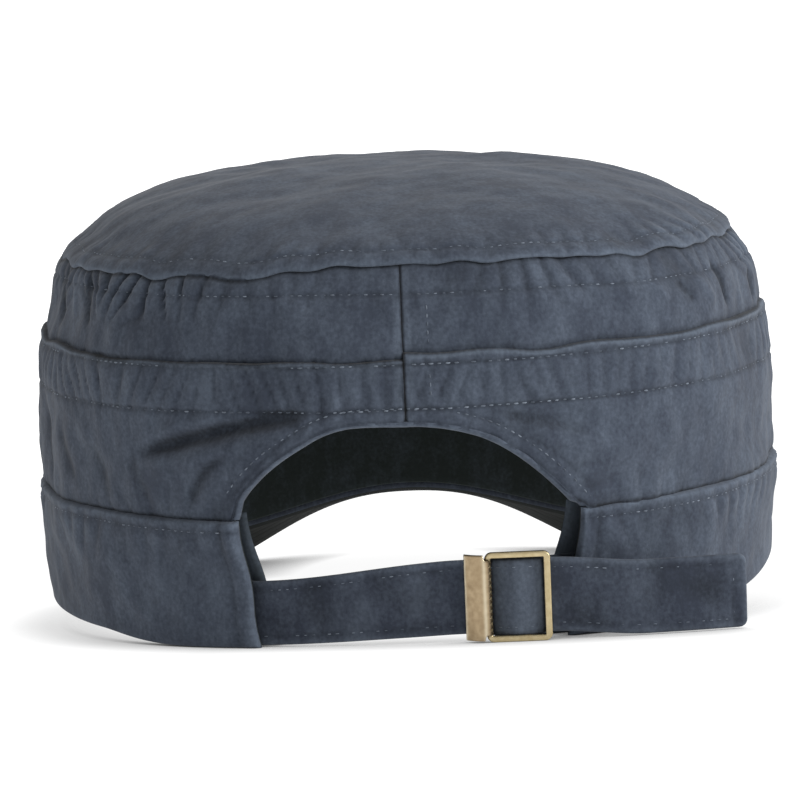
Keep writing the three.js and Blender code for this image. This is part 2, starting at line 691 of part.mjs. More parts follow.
// Lever: a sheet rolled round the hinge bar, with a toothed edge at one end of the roll
// and a flat plate that lies back over the strap at the other
function leverGeometry() {
  const inner = PIN_RADIUS + GAP;
  const outer = inner + LEVER_SHEET;
  const toothEnd = -50 * DEGREE + Math.PI;
  const polar = (r, angle) => new THREE.Vector2(r * Math.cos(angle), r * Math.sin(angle));
  const roll = new THREE.Shape();
  const lift = 75 * DEGREE;
  const from = toothEnd + Math.PI / 2 + 10 * DEGREE;
  roll.moveTo(polar(outer, lift).x, polar(outer, lift).y);
  roll.absarc(0, 0, outer, lift, from, false);
  roll.absarc(0, 0, inner, from, lift, true);
  roll.closePath();
  const plate = new THREE.Shape();
  plate.moveTo(polar(inner, lift).x, polar(inner, lift).y);
  plate.quadraticCurveTo(inner + 1.6, inner - 0.1, LEVER_REACH, -LEVER_DROP);
  plate.lineTo(LEVER_REACH + 0.25, -LEVER_DROP + LEVER_SHEET);
  plate.quadraticCurveTo(outer + 1.4, outer - 0.1, polar(outer, lift).x, polar(outer, lift).y);
  plate.closePath();
  const low = FRAME_END_BAR + GAP;
  const high = FRAME_HEIGHT - FRAME_END_BAR - GAP;
  const wideLow = (FRAME_HEIGHT - LEVER_HEIGHT) / 2;
  const clearOfFrame = new THREE.BoxGeometry(LEVER_REACH * 2, LEVER_REACH * 2, FRAME_HEIGHT * 2);
  clearOfFrame.translate(LEVER_REACH + PIN_RADIUS + 2 * GAP, 0, 0);
  const wings = toSolid(upright(plate, wideLow, FRAME_HEIGHT - wideLow)).intersect(toSolid(clearOfFrame));
  let solid = toSolid(upright(roll, low, high)).add(toSolid(upright(plate, low, high))).add(wings);
  const count = Math.floor((high - low) / TOOTH_PITCH);
  const start = (low + high) / 2 - ((count - 1) * TOOTH_PITCH) / 2;
  const edge = polar((inner + outer) / 2, from);
  const notch = new THREE.BoxGeometry(LEVER_SHEET * 2.2, TOOTH_DEPTH, TOOTH_DEPTH);
  for (let i = 0; i < count; i += 1) {
    const cut = notch.clone();
    cut.rotateX(Math.PI / 4);
    cut.rotateZ(from);
    cut.translate(edge.x, edge.y, start + i * TOOTH_PITCH);
    solid = solid.subtract(toSolid(cut));
  }
  return toGeometry(solid);
}
for (const [name, geometry] of [['buckle_frame', frameGeometry()], ['buckle_lever', leverGeometry()]]) {
  const mesh = new THREE.Mesh(geometry, new THREE.MeshStandardMaterial(brass));
  mesh.name = name;
  buckle.add(mesh);
}

// Lean the cap back onto the surface, with the middle of its outline over the origin
cap.rotation.x = -LEAN * DEGREE;
const placed = new THREE.Group();
placed.add(cap);
placed.updateMatrixWorld(true);
const bounds = new THREE.Box3().setFromObject(placed, true);
const middle = bounds.getCenter(new THREE.Vector3());
placed.position.set(-middle.x, -middle.y, -bounds.min.z);
placed.updateMatrixWorld(true);

export default placed;
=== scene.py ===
"""Looks of a washed cotton patrol cap seen from behind, with a brass clamp buckle.

Lengths are millimetres in the cap's own axes (+Z up, the opening at +Y, the wearer's left
at +X) until to_frame() leans the cap onto its surface and turns them into metres.
"""

import logging
from collections.abc import Callable
from dataclasses import dataclass
from enum import Enum

import bpy
import numpy as np
from mathutils import Matrix


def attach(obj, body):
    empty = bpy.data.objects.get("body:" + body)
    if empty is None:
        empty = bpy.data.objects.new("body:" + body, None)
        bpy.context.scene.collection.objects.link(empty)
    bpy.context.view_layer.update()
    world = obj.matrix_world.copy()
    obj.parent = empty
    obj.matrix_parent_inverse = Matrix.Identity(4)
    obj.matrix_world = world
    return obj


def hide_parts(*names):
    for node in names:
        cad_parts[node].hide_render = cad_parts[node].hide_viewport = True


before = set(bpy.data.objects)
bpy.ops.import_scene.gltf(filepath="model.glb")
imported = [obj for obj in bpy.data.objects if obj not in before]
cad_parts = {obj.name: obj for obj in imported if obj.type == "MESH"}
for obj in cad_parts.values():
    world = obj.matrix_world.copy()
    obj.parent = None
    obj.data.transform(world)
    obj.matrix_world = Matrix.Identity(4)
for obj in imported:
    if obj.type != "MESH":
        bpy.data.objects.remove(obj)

# Short names of types; a pair is two arrays of one shape, such as points and directions.
Array = np.ndarray
Pair = tuple[np.ndarray, np.ndarray]
Curve = Callable[[np.ndarray], np.ndarray]
Made = bpy.types.Object
Socket = bpy.types.NodeSocket
Cloth = bpy.types.Material
LOG = logging.getLogger("cap")
DEGREE = np.pi / 180
MEAN_RADIUS = 93.0  # mm, the wall's mean radius, turns an angle into a length round it


class Side(Enum):
    """The two halves of the wall, by the wearer's left and right."""

    LEFT = 1
    RIGHT = -1


class Slot(Enum):
    """The record's material slots."""

    CLOTH = "washed_cotton"
    LINING = "inner_cotton"
    BRASS = "antique_brass"


# Numbers and small formulas


def ease(value: Array, low: float, high: float) -> Array:
    """Smooth step: 3t^2 - 2t^3 of the share t of the way from low to high."""
    t = np.clip((value - low) / (high - low), 0, 1)
    return t * t * (3 - 2 * t)


def bell(value: Array, centre: float, width: float) -> Array:
    """Bell curve: e to minus the square of the distance over the width."""
    return np.exp(-(((value - centre) / width) ** 2))


def spread(length: float, cell: float, turn: float) -> Array:
    """Shares of a length: even cells, and close ones over the rounded edges.

    Over each edge the distance is turn x (1 - cos a), with a going from 0 to 90 degrees.

    Args:
        length: the whole length.
        cell: size of the even cells.
        turn: how far the rounding of each edge reaches.

    Returns:
        Rising shares from 0 to 1.
    """
    edge = turn * (1 - np.cos(np.linspace(0, np.pi / 2, 5)))
    count = max(3, int((length - 2 * turn) / cell))
    even = np.linspace(turn, length - turn, count)
    return np.concatenate([edge[:-1], even, (length - edge[::-1])[1:]]) / length


def rounding(distance: Array, turn: float) -> Array:
    """Share of the full thickness at a distance from an edge: a quarter circle."""
    t = np.clip(distance / turn, 0, 1)
    return np.sqrt(np.clip(1 - (1 - t) ** 2, 0.02, 1))


def grid(first: Array, second: Array) -> Pair:
    """Both arrays spread over every pair of their values."""
    return tuple(np.meshgrid(first, second, indexing="ij"))


def from_back(angle: Array) -> Array:
    """Degrees round from the back centre, -180 to 180, of an angle in radians."""
    return np.arctan2(np.sin(angle), np.cos(angle)) / DEGREE


def unit(vectors: Array) -> Array:
    """The same directions at length 1."""
    return vectors / np.linalg.norm(vectors, axis=-1, keepdims=True)


def run_of(path: Array) -> Array:
    """Distance of each point of a path along it, from its first point."""
    return np.concatenate([[0], np.cumsum(np.linalg.norm(np.diff(path, axis=0), axis=1))])


def read_path(distance: Array, run: Array, path: Array) -> Array:
    """Points of a path at distances along it, on the straight lines between its own points."""
    return np.stack([np.interp(distance, run, path[:, k]) for k in range(path.shape[1])], -1)


def cubic(rows: list[Array], share: Array, tension: float) -> Array:
    """Hermite cubic between the middle two of four points: 2t^3 - 3t^2 and its partners.

    Args:
        rows: the point before, the two ends and the point after.
        share: t, 0 to 1, as a column.
        tension: share of the neighbours' distance taken as the slope.

    Returns:
        A point for each t.
    """
    before, start, end, after = rows
    leave, arrive = tension * (end - before), tension * (after - start)
    curve = (2 * start - 2 * end + leave + arrive) * share**3
    return curve + (3 * end - 3 * start - 2 * leave - arrive) * share**2 + leave * share + start


@dataclass(frozen=True)
class Ripple:
    """Uneven waves along a length: a sum of cosines of whole turns round the cap."""

    seed: int
    shortest: float
    longest: float
    count: int = 14

    def at(self, angle: Array) -> Array:
        """Sum of cosines with random lengths and phases, of about unit size.

        Args:
            angle: radians round the cap.

        Returns:
            Heights, about -2 to 2.
        """
        rng = np.random.default_rng(self.seed)
        lengths = rng.uniform(self.shortest, self.longest, self.count)
        turns = np.round(2 * np.pi * MEAN_RADIUS / lengths)
        phases = rng.uniform(0, 2 * np.pi, self.count)
        waves = np.cos(np.multiply.outer(angle, turns) + phases)
        return waves.sum(-1) / np.sqrt(self.count / 2)


@dataclass(frozen=True)
class Swell:
    """Soft undulation of a surface: a sum of plane waves in random directions."""

    seed: int
    shortest: float
    longest: float
    size: float
    count: int = 16

    def at(self, along: Array, up: Array) -> Array:
        """Sum of cosines of turns x angle + rate x height + phase.

        Args:
            along: radians round the cap.
            up: millimetres up the wall.

        Returns:
            Heights in millimetres.
        """
        rng = np.random.default_rng(self.seed)
        rates = 2 * np.pi / rng.uniform(self.shortest, self.longest, self.count)
        ways = rng.uniform(0, np.pi, self.count)
        turns = np.round(rates * np.cos(ways) * MEAN_RADIUS)
        climbs = rates * np.sin(ways)
        phases = rng.uniform(0, 2 * np.pi, self.count)
        angle, height = np.broadcast_arrays(along, up)
        waves = np.multiply.outer(angle, turns) + np.multiply.outer(height, climbs)
        return self.size * np.cos(waves + phases).sum(-1) / np.sqrt(self.count / 2)


@dataclass(frozen=True)
class Gather:
    """Small gathers that a row of stitches pulls into the cloth on both its sides."""

    row: float
    above: float
    below: float
    depth: float
    seed: int
    shortest: float = 9.0
    longest: float = 17.0
    lean: float = 0.5
    sink: float = 0.3

    def at(self, angle: Array, up: Array) -> Array:
        """Round ridges between sharp valleys, times a fade away from the row.

        The ridges are the size of a ripple, and they fade as a bell on each side of the
        row; the row itself lies in a narrow groove.

        Args:
            angle: radians round the cap.
            up: millimetres, in the same measure as row.

        Returns:
            Heights in millimetres.
        """
        offset = up - self.row
        lean = self.lean * Ripple(self.seed + 1, 30, 80).at(angle) * offset / MEAN_RADIUS
        ridges = np.abs(Ripple(self.seed, self.shortest, self.longest).at(angle + lean)) - 0.75
        reach = np.where(offset > 0, self.above, self.below)
        fade = np.exp(-((offset / reach) ** 2)) * (1 - 0.85 * bell(offset, 0, 0.9))
        return self.depth * ridges * fade - self.sink * bell(offset, 0, 0.7)


@dataclass(frozen=True)
class RingGather:
    """Upright gathers in the strip between two rows, fading out past both of them."""

    low: float
    high: float
    depth: float
    seed: int
    shortest: float = 6.4
    longest: float = 10.5
    lean: float = 0.35
    reach: float = 2.6
    rest: float = 0.4

    def at(self, angle: Array, up: Array) -> Array:
        """Round ridges between sharp valleys, tall in the middle of the strip.

        The ridges are the size of a ripple, squared off by a tanh; over the strip they
        rise as a half sine to the power 0.6, and past it they fade as a bell.

        Args:
            angle: radians round the cap.
            up: millimetres, in the same measure as low and high.

        Returns:
            Heights in millimetres.
        """
        middle = (self.low + self.high) / 2
        lean = self.lean * Ripple(self.seed + 1, 25, 70).at(angle) * (up - middle) / MEAN_RADIUS
        wave = Ripple(self.seed, self.shortest, self.longest).at(angle + lean)
        ridges = np.tanh(1.5 * np.abs(wave)) - 0.62
        share = np.clip((up - self.low) / (self.high - self.low), 0, 1)
        inside = np.sin(np.pi * share) ** 0.6 * (1 - self.rest) + self.rest
        past = np.maximum(0, np.maximum(self.low - up, up - self.high))
        strength = 0.75 + 0.3 * Ripple(self.seed + 2, 40, 120, 6).at(angle)
        inside = np.where(past > 0, self.rest, inside)
        return self.depth * ridges * strength * inside * np.exp(-((past / self.reach) ** 2))


@dataclass(frozen=True)
class Crease:
    """A crease or ridge along a line: degrees and heights of its ends and its bow."""

    angle: float
    up: float
    to_angle: float
    to_up: float
    bow: float
    wide: float
    deep: float

    def at(self, angle: Array, up: Array) -> Array:
        """Bell across the line, faded at both its ends.

        The line is straight from one end to the other, bowed upwards by a half sine.

        Args:
            angle: radians round the cap.
            up: millimetres.

        Returns:
            Millimetres inwards.
        """
        degrees = from_back(angle)
        x, y = degrees * DEGREE * MEAN_RADIUS, up
        x0, x1 = self.angle * DEGREE * MEAN_RADIUS, self.to_angle * DEGREE * MEAN_RADIUS
        dx, dy = x1 - x0, self.to_up - self.up
        length = np.hypot(dx, dy)
        t = ((x - x0) * dx + (y - self.up) * dy) / length**2
        off = ((x - x0) * -dy + (y - self.up) * dx) / length * np.sign(dx if dx else 1)
        off = off - self.bow * np.sin(np.pi * np.clip(t, 0, 1))
        wide = self.wide * (0.6 + 0.4 * np.sin(np.pi * np.clip(t, 0, 1)))
        return self.deep * np.exp(-((off / wide) ** 2)) * ease(t, -0.12, 0.2) * (1 - ease(t, 0.8, 1.12))


# The cap's form


@dataclass(frozen=True)
class Fold:
    """A fold or dent: degrees round from the back, share of height, sizes and depth."""

    angle: float
    up: float
    wide: float
    tall: float
    slant: float
    deep: float


@dataclass(frozen=True)
class CapForm:
    """Sizes of the cap and the formulas of its surfaces."""

    half_width: float = 90.8
    half_depth: float = 95.4
    plan_power: float = 2.2
    wall_height: float = 88.5
    band_height: float = 30.0
    middle_height: float = 68.4
    crown_rise: float = 18.0
    crown_power: float = 2.5
    crown_round: float = 0.7
    upper_cloth: float = 1.6
    middle_cloth: float = 2.5
    band_cloth: float = 3.2
    sweat_cloth: float = 1.3
    crown_cloth: float = 1.8
    strap_cloth: float = 1.7
    keeper_cloth: float = 1.0
    gap: float = 0.3
    arch_half: float = 39.5
    arch_rise: float = 21.4
    arch_shoulder: float = 2.4
    arch_square: float = 2.6
    arch_sink: float = 1.9
    opening_foot: float = 36.2
    facing_top: float = 5.0
    facing_side: float = 12.0
    tab_flare: float = 3.9
    tab_flare_angle: float = 12.0
    lean: float = 5.0
    rest_depth: float = 99.0
    rest_height: float = 0.4
    rim_rise: float = 8.5
    rim_rise_half: float = 58.0
    shift_back: float = 27.719
    shift_up: float = 8.230
    slump_right: float = 1.5
    slump_left: float = 0.55
    seam_sag: float = 2.7
    sections: tuple[tuple[float, float], ...] = (
        (0.0, 0.978), (0.17, 0.988), (0.34, 0.996), (0.54, 1.0), (0.72, 0.99), (0.82, 0.978), (0.91, 0.955),
        (1.0, 0.908),
    )
    folds: tuple[Fold, ...] = (
        Fold(27, 0.575, 10, 0.035, 0.055, 0.7),
        Fold(30, 0.505, 11, 0.045, 0.05, -0.4),
        Fold(-20, 0.6, 9, 0.04, 0.045, 0.45),
        Fold(-27, 0.5, 11, 0.06, 0.04, -0.35),
        Fold(52, 0.46, 8, 0.09, 0.02, 0.35),
        Fold(70, 0.55, 7, 0.13, -0.05, 0.4),
        Fold(-58, 0.48, 9, 0.08, 0.02, 0.3),
        Fold(62, 0.87, 5, 0.06, 0.04, 0.35),
        Fold(74, 0.86, 4.5, 0.07, 0.05, 0.4),
        Fold(45, 0.88, 4, 0.05, 0, 0.25),
        Fold(-66, 0.86, 5, 0.07, -0.04, 0.4),
        Fold(-78, 0.84, 5, 0.08, -0.05, 0.4),
    )

    def size_share(self, up: Array | float) -> Array:
        """Share of the full width at a height share, on a spline through the sections.

        Args:
            up: height as a share of the wall's.

        Returns:
            The share of half_width and half_depth there.
        """
        rows = np.array(self.sections)
        t = np.linspace(0, len(rows) - 1, 141)
        step = np.minimum(t.astype(int), len(rows) - 2)
        near = [rows[np.clip(step + k, 0, len(rows) - 1)] for k in (-1, 0, 1, 2)]
        curve = cubic(near, (t - step)[:, None], 0.5)
        return np.interp(np.clip(up, 0, 1), curve[:, 0], curve[:, 1])

    def plan(self, angle: Array, share: Array | float, out: Array | float) -> Array:
        """Superellipse in plan, pushed out along its normal.

        Args:
            angle: radians from the back centre, towards the wearer's left.
            share: size of the outline.
            out: distance along the normal.

        Returns:
            Points (..., 2) as x and y.
        """
        wide, deep = self.half_width * share, self.half_depth * share
        s, c, n = np.sin(angle), np.cos(angle), self.plan_power
        reach = ((np.abs(s) / wide) ** n + (np.abs(c) / deep) ** n) ** (-1 / n)
        nx = np.sign(s) * np.abs(s / wide) ** (n - 1) / wide
        ny = np.sign(c) * np.abs(c / deep) ** (n - 1) / deep
        length = np.hypot(nx, ny)
        return np.stack([reach * s + out * nx / length, reach * c + out * ny / length], -1)

    def press(self, angle: Array, up: Array) -> Array:
        """Depth of the folds: each a bell round the cap and across its own slanted line.

        Args:
            angle: radians from the back centre.
            up: height share.

        Returns:
            Millimetres inwards.
        """
        degrees = from_back(angle)
        depth = np.zeros(np.broadcast(degrees, up).shape)
        for fold in self.folds:
            around = degrees - fold.angle
            climb = up - fold.up + np.sign(fold.angle) * around * fold.slant / 10
            depth = depth + fold.deep * np.exp(-((around / fold.wide) ** 2) - (climb / fold.tall) ** 2)
        height = up * self.wall_height
        return depth * self.middle_cloth * ease(height, self.band_height, self.band_height + 8)

    def wall(self, angle: Array, z: Array, out: Array | float, folded: bool = True) -> Array:
        """Point of the wall: the plan outline at its height's size, less the folds.

        Args:
            angle: radians from the back centre.
            z: height over the rim's plane.
            out: distance out of the wall's inside.
            folded: whether the folds press it in.

        Returns:
            Points (..., 3).
        """
        angle, z = np.broadcast_arrays(np.asarray(angle, float), np.asarray(z, float))
        up = z / self.wall_height
        press = self.press(angle, up) if folded else 0.0
        return np.concatenate([self.plan(angle, self.size_share(up), out - press), z[..., None]], -1)

    def angle_at(self, x: Array, z: Array) -> Array:
        """Angle at which the back half of the wall's inside has a given x, by halving.

        Args:
            x: distance from the centre plane.
            z: height.

        Returns:
            Radians, with the sign of x.
        """
        x, z = np.broadcast_arrays(np.asarray(x, float), np.asarray(z, float))
        low, high = np.zeros(x.shape), np.full(x.shape, np.pi / 2)
        share = self.size_share(z / self.wall_height)
        for _ in range(36):
            middle = (low + high) / 2
            short = self.plan(middle, share, 0.0)[..., 0] < np.abs(x)
            low, high = np.where(short, middle, low), np.where(short, high, middle)
        return np.sign(x) * low

    def surface_at(self, y: Array) -> Array:
        """Height of the resting surface over the rim's plane: a slope of lean degrees."""
        return self.rest_height + (y - self.rest_depth) * np.tan(self.lean * DEGREE)

    def rim_height(self, x: Array, y: Array) -> Array:
        """Lower edge: on the surface at the back, a squared cosine arch at the front.

        Args:
            x: across.
            y: depth.

        Returns:
            Heights.
        """
        back = self.surface_at(y) * ease(y / self.half_depth, 0.62, 0.87)
        t = np.clip(x / self.rim_rise_half, -1, 1)
        return np.where(y > 0, back, self.rim_rise * np.cos(t * np.pi / 2) ** 2)

    def arc_terms(self, x: Array, half: float, rise: float) -> tuple[float, Array]:
        """Radius of a circle's arc over its chord, and the height of its fuller left shoulder."""
        shoulder = self.arch_shoulder * np.sin(np.pi * np.clip(x / half, 0, 1)) ** 2
        return (half * half + rise * rise) / (2 * rise), shoulder

    def arc_height(self, x: Array, half: float, rise: float) -> Array:
        """Height of a circle's arc over its chord, fuller on the wearer's left.

        The fuller shoulder is a squared sine from the middle to the left foot. The left
        foot squares off by an ease that ends in a short upright, and the right one sinks.

        Args:
            x: distance from the chord's middle.
            half: half of the chord.
            rise: height of the arc's top.

        Returns:
            Heights.
        """
        radius, shoulder = self.arc_terms(x, half, rise)
        t = x / half
        square = self.arch_square * ease(t, 0.56, 0.95) * (1 - ease(t, 0.965, 1.0))
        sunk = self.arch_sink * ease(-t, 0.4, 0.92) * (1 - ease(-t, 0.93, 1.0))
        arc = np.sqrt(np.maximum(0, radius * radius - x * x)) - (radius - rise)
        return arc + shoulder + square - np.minimum(sunk, np.maximum(arc, 0))

    def facing_outer(self, x: Array) -> Array:
        """Height of the facing's outer edge at x."""
        over = self.arc_height(x, self.arch_half + self.facing_side, self.arch_rise + self.facing_top)
        return self.band_height + self.gap + np.maximum(0, over)

    def seam_height(self, angle: Array) -> Array:
        """Height of the crown's seam: it sags on the wearer's left and waves a little.

        Args:
            angle: radians from the back centre.

        Returns:
            Heights.
        """
        degrees = from_back(angle)
        sag = self.seam_sag * ease(degrees, 4, 26) * (1 - ease(degrees, 85, 130))
        return self.wall_height - sag + 0.28 * Ripple(55, 9, 34, 12).at(angle)

    def from_arch(self, x: Array, z: Array) -> Pair:
        """Distance out of the opening's arc, and the distance along it.

        Args:
            x: across.
            z: height.

        Returns:
            Millimetres out of the edge and millimetres along it from its top.
        """
        radius, shoulder = self.arc_terms(x, self.arch_half, self.arch_rise)
        over = z - shoulder - (self.band_height + self.gap + self.arch_rise - radius)
        return np.hypot(x, over) - radius, np.arctan2(x, over) * radius

    def lap(self, x: Array, wide: float) -> Array:
        """Height of a line that runs round the opening's arc at a distance."""
        over = self.arc_height(x, self.arch_half + wide, self.arch_rise + wide)
        return self.band_height + self.gap + np.maximum(0, over)

    def settle(self, points: Array) -> Array:
        """Lets the soft top down on the wearer's right and up a little on the left.

        The drop is slump_right x ease(-x, 28, 60) less slump_left x ease(x, -5, 18), times
        an ease of the height from the middle band to the crown's seam.

        Args:
            points: millimetres in the cap's axes, (..., 3).

        Returns:
            The settled points.
        """
        x, z = points[..., 0], points[..., 2]
        drop = self.slump_right * ease(-x, 28, 60) - self.slump_left * ease(x, -5, 18)
        lower = z - drop * ease(z, self.middle_height, self.wall_height)
        return np.concatenate([points[..., :2], lower[..., None]], -1)

    def to_frame(self, points: Array) -> Array:
        """Leans points back about X and shifts them to the row's frame, in metres."""
        return (self.turn(self.settle(points)) + np.array([0, self.shift_back, self.shift_up])) * 0.001

    def turn(self, vectors: Array) -> Array:
        """Turns vectors by the lean about X.

        Args:
            vectors: (..., 3) in the cap's axes.

        Returns:
            The same vectors in the frame's axes.
        """
        c, s = np.cos(self.lean * DEGREE), np.sin(self.lean * DEGREE)
        x, y, z = vectors[..., 0], vectors[..., 1], vectors[..., 2]
        return np.stack([x, y * c + z * s, z * c - y * s], -1)


FORM = CapForm()


# Meshes


def make_object(name: str, points: Array, faces: list[Array], layers: dict[str, Array], uv: Array) -> Made:
    """Makes a smooth mesh object from whole arrays, with its faces turned outwards.

    Args:
        name: name of the object.
        points: (n, 3) metres.
        faces: arrays of corner indices, one array for each number of corners.
        layers: a number for each vertex, by attribute name.
        uv: (n, 2) metres along and across the cloth.

    Returns:
        The object, linked to the scene.
    """
    volume = 0.0
    for face in faces:
        a, b, c = points[face[:, 0]], points[face[:, 1]], points[face[:, -1]]
        volume += np.einsum("ij,ij->", a, np.cross(b, c))
        if face.shape[1] == 4:
            volume += np.einsum("ij,ij->", b, np.cross(points[face[:, 2]], c))
    if volume < 0:
        faces = [face[:, ::-1] for face in faces]
    corners = np.concatenate([face.ravel() for face in faces]).astype(np.int32)
    sizes = np.concatenate([np.full(len(face), face.shape[1]) for face in faces])
    starts = np.concatenate([[0], np.cumsum(sizes)[:-1]]).astype(np.int32)
    mesh = bpy.data.meshes.new(name)
    mesh.vertices.add(len(points))
    mesh.vertices.foreach_set("co", points.astype(np.float32).ravel())
    mesh.loops.add(len(corners))
    mesh.loops.foreach_set("vertex_index", corners)
    mesh.polygons.add(len(starts))
    mesh.polygons.foreach_set("loop_start", starts)
    mesh.polygons.foreach_set("use_smooth", np.ones(len(starts), bool))
    for key, values in layers.items():
        layer = mesh.attributes.new(key, "FLOAT", "POINT")
        layer.data.foreach_set("value", values.astype(np.float32).ravel())
    mesh.uv_layers.new(name="UVMap").data.foreach_set("uv", uv[corners].astype(np.float32).ravel())
    mesh.update(calc_edges=True)
    mesh.validate()
    made = bpy.data.objects.new(name, mesh)
    bpy.context.scene.collection.objects.link(made)
    return made


def grid_faces(across: int, up: int, start: int, loop: bool) -> Array:
    """Quads between neighbouring columns and rows of a grid.

    Args:
        across: number of columns.
        up: number of rows.
        start: index of the grid's first point.
        loop: whether the last column joins the first.

    Returns:
        (n, 4) indices.
    """
    column = np.arange(across if loop else across - 1)
    row = np.arange(up - 1)
    a = start + column[:, None] * up + row[None, :]
    b = start + ((column + 1) % across)[:, None] * up + row[None, :]
    return np.stack([a, b, b + 1, a + 1], -1).reshape(-1, 4)


@dataclass
class ClothSheet:
    """A closed piece of cloth between two grids of points, columns by rows."""

    name: str
    outer: Array
    inner: Array
    uv: Array
    paleness: Array
    shade: Array
    pole: bool = False

    def build(self) -> Made:
        """Joins the two grids along their edges into one closed mesh.

        With a pole, the last column joins the first and the last row of each face is
        closed by a fan of triangles round one middle point. The back faces take a second
        material number, and their shade layer paints them half dark: painted shade.

        Returns:
            The object.
        """
        across, up = self.outer.shape[:2]
        count = across * up
        face = grid_faces(across, up, 0, self.pole)
        back = grid_faces(across, up, count, self.pole)[:, ::-1]
        column = np.arange(across if self.pole else across - 1)
        after = (column + 1) % across
        foot = np.stack([column * up, column * up + count, after * up + count, after * up], -1)
        points = np.concatenate([self.outer.reshape(-1, 3), self.inner.reshape(-1, 3)])
        uv = np.concatenate([self.uv.reshape(-1, 2)] * 2)
        # Back faces: a flat pale share of 0.1 and a shade of 0.5, a painted shade for the inside of the cap.
        paleness = np.concatenate([np.clip(self.paleness, 0, 1).ravel(), np.full(count, 0.1)])
        shade = np.concatenate([np.clip(self.shade, 0, 1).ravel(), np.full(count, 0.5)])
        if self.pole:
            middles = np.stack([self.outer[:, -1].mean(0), self.inner[:, -1].mean(0)])
            points = np.concatenate([points, middles])
            uv = np.concatenate([uv, middles[:, :2]])
            paleness, shade = (np.concatenate([layer, layer[[up - 1, -1]]]) for layer in (paleness, shade))
            last = column * up + up - 1
            fan = np.stack([last, after * up + up - 1, np.full(across, 2 * count)], -1)
            under = np.stack([last + count, np.full(across, 2 * count + 1), after * up + up - 1 + count], -1)
            groups = [np.concatenate([face, foot]), back, fan, under]
            on_back = [False, True, False, True]
        else:
            top = foot[:, ::-1] + up - 1
            row = np.arange(up - 1)
            first = np.stack([row, row + 1, row + 1 + count, row + count], -1)
            last = first[:, ::-1] + (across - 1) * up
            groups = [np.concatenate([face, foot, top, first, last]), back]
            on_back = [False, True]
        layers = {"paleness": paleness, "shade": shade}
        made = make_object(self.name, FORM.to_frame(points), groups, layers, uv * 0.001)
        side = np.concatenate([np.full(len(group), line) for group, line in zip(groups, on_back)])
        made.data.polygons.foreach_set("material_index", side.astype(np.int32))
        LOG.info("%s: %d faces", self.name, len(made.data.polygons))
        return made


def stitches(name: str, rows: list[Pair], thread: "Thread") -> Made:
    """Rows of single stitches as small capsules that rise out of the cloth.

    Each row is cut at even distances; a stitch runs straight from one cut, rises by a
    half sine and narrows to its ends. Each lies a little deeper or higher, and its tone
    differs a little too.

    Args:
        name: name of the object.
        rows: for each row, its points (n, 3) on the cloth and the outward directions.
        thread: the sizes of the stitches.

    Returns:
        One object with all the stitches.
    """
    starts, ends, normals = [], [], []
    for path, out in rows:
        run = run_of(path)
        count = int((run[-1] - thread.length) / thread.pitch)
        begin = thread.pitch * (np.arange(count) + 0.5)
        for bag, where in ((starts, begin), (ends, begin + thread.length)):
            bag.append(read_path(where, run, path))
        normals.append(read_path(begin + thread.length / 2, run, out))
    start, end, normal = np.concatenate(starts), np.concatenate(ends), np.concatenate(normals)
    along = unit(end - start)
    normal = unit(normal - along * np.einsum("ij,ij->i", normal, along)[:, None])
    side = np.cross(along, normal)
    share = np.array([0.0, 0.1, 0.3, 0.7, 0.9, 1.0])
    width = thread.radius * (1 - np.abs(2 * share - 1) ** 3 * 0.85)
    depth = np.random.default_rng(len(start)).uniform(-0.15, 0.06, len(start)) - thread.sink
    rise = thread.rise * np.sin(np.pi * share)[None, :] - thread.radius * 0.6 + depth[:, None]
    angle = np.arange(6) * np.pi / 3
    middle = start[:, None] + (end - start)[:, None] * share[None, :, None]
    middle = middle + normal[:, None] * rise[..., None]
    across, up = np.cos(angle)[None, None, :, None], np.sin(angle)[None, None, :, None]
    ring = side[:, None, None] * across + normal[:, None, None] * up
    points = middle[:, :, None] + ring * width[None, :, None, None]
    total, stations, sides = points.shape[:3]
    first = np.arange(total)[:, None, None] * stations * sides
    i, j = grid(np.arange(stations - 1), np.arange(sides))
    a, b = i * sides + j, i * sides + (j + 1) % sides
    quads = np.stack([first + a, first + b, first + b + sides, first + a + sides], -1).reshape(-1, 4)
    cap = np.arange(sides)[None, :] + np.arange(total)[:, None] * stations * sides
    far = cap[:, ::-1] + (stations - 1) * sides
    points = points.reshape(-1, 3)
    uv = np.stack([points[:, 0], points[:, 2]], -1) * 0.001
    tone = np.repeat(np.random.default_rng(len(points)).uniform(0, 1, total), stations * sides)
    blank = {"paleness": tone, "shade": 0.4 * (1 - tone)}
    made = make_object(name, FORM.to_frame(points), [quads, cap[:, ::-1], far[:, ::-1]], blank, uv)
    LOG.info("%s: %d stitches", name, total)
    return made


@dataclass(frozen=True)
class Thread:
    """Sewing thread: one stitch's length, spacing, radius and rise over the cloth."""

    length: float = 1.2
    pitch: float = 1.95
    radius: float = 0.19
    rise: float = 0.12
    sink: float = 0.0


def sew(name: str, rows: list[Pair], wardrobe: "Wardrobe", thread: Thread | None = None) -> None:
    """Makes rows of stitches and dresses them in the thread's finish."""
    dress(stitches(name, rows, thread or Thread()), wardrobe.thread, Slot.CLOTH, "cap")


def row_on(place: Curve, at: Array, step: Curve) -> Pair:
    """Points of a stitch row and their outward directions.

    Args:
        place: points of the row at the given places.
        at: places along the row.
        step: points a little further up the same cloth.

    Returns:
        Points and unit normals, each (n, 3).
    """
    points = place(at)
    along = np.gradient(points, axis=0)
    normal = unit(np.cross(along, step(at) - points))
    outward = np.sign(np.einsum("ij,ij->i", normal[:, :2], points[:, :2]))
    outward = np.where(outward == 0, 1, outward)
    return points, normal * outward[:, None]


# Materials


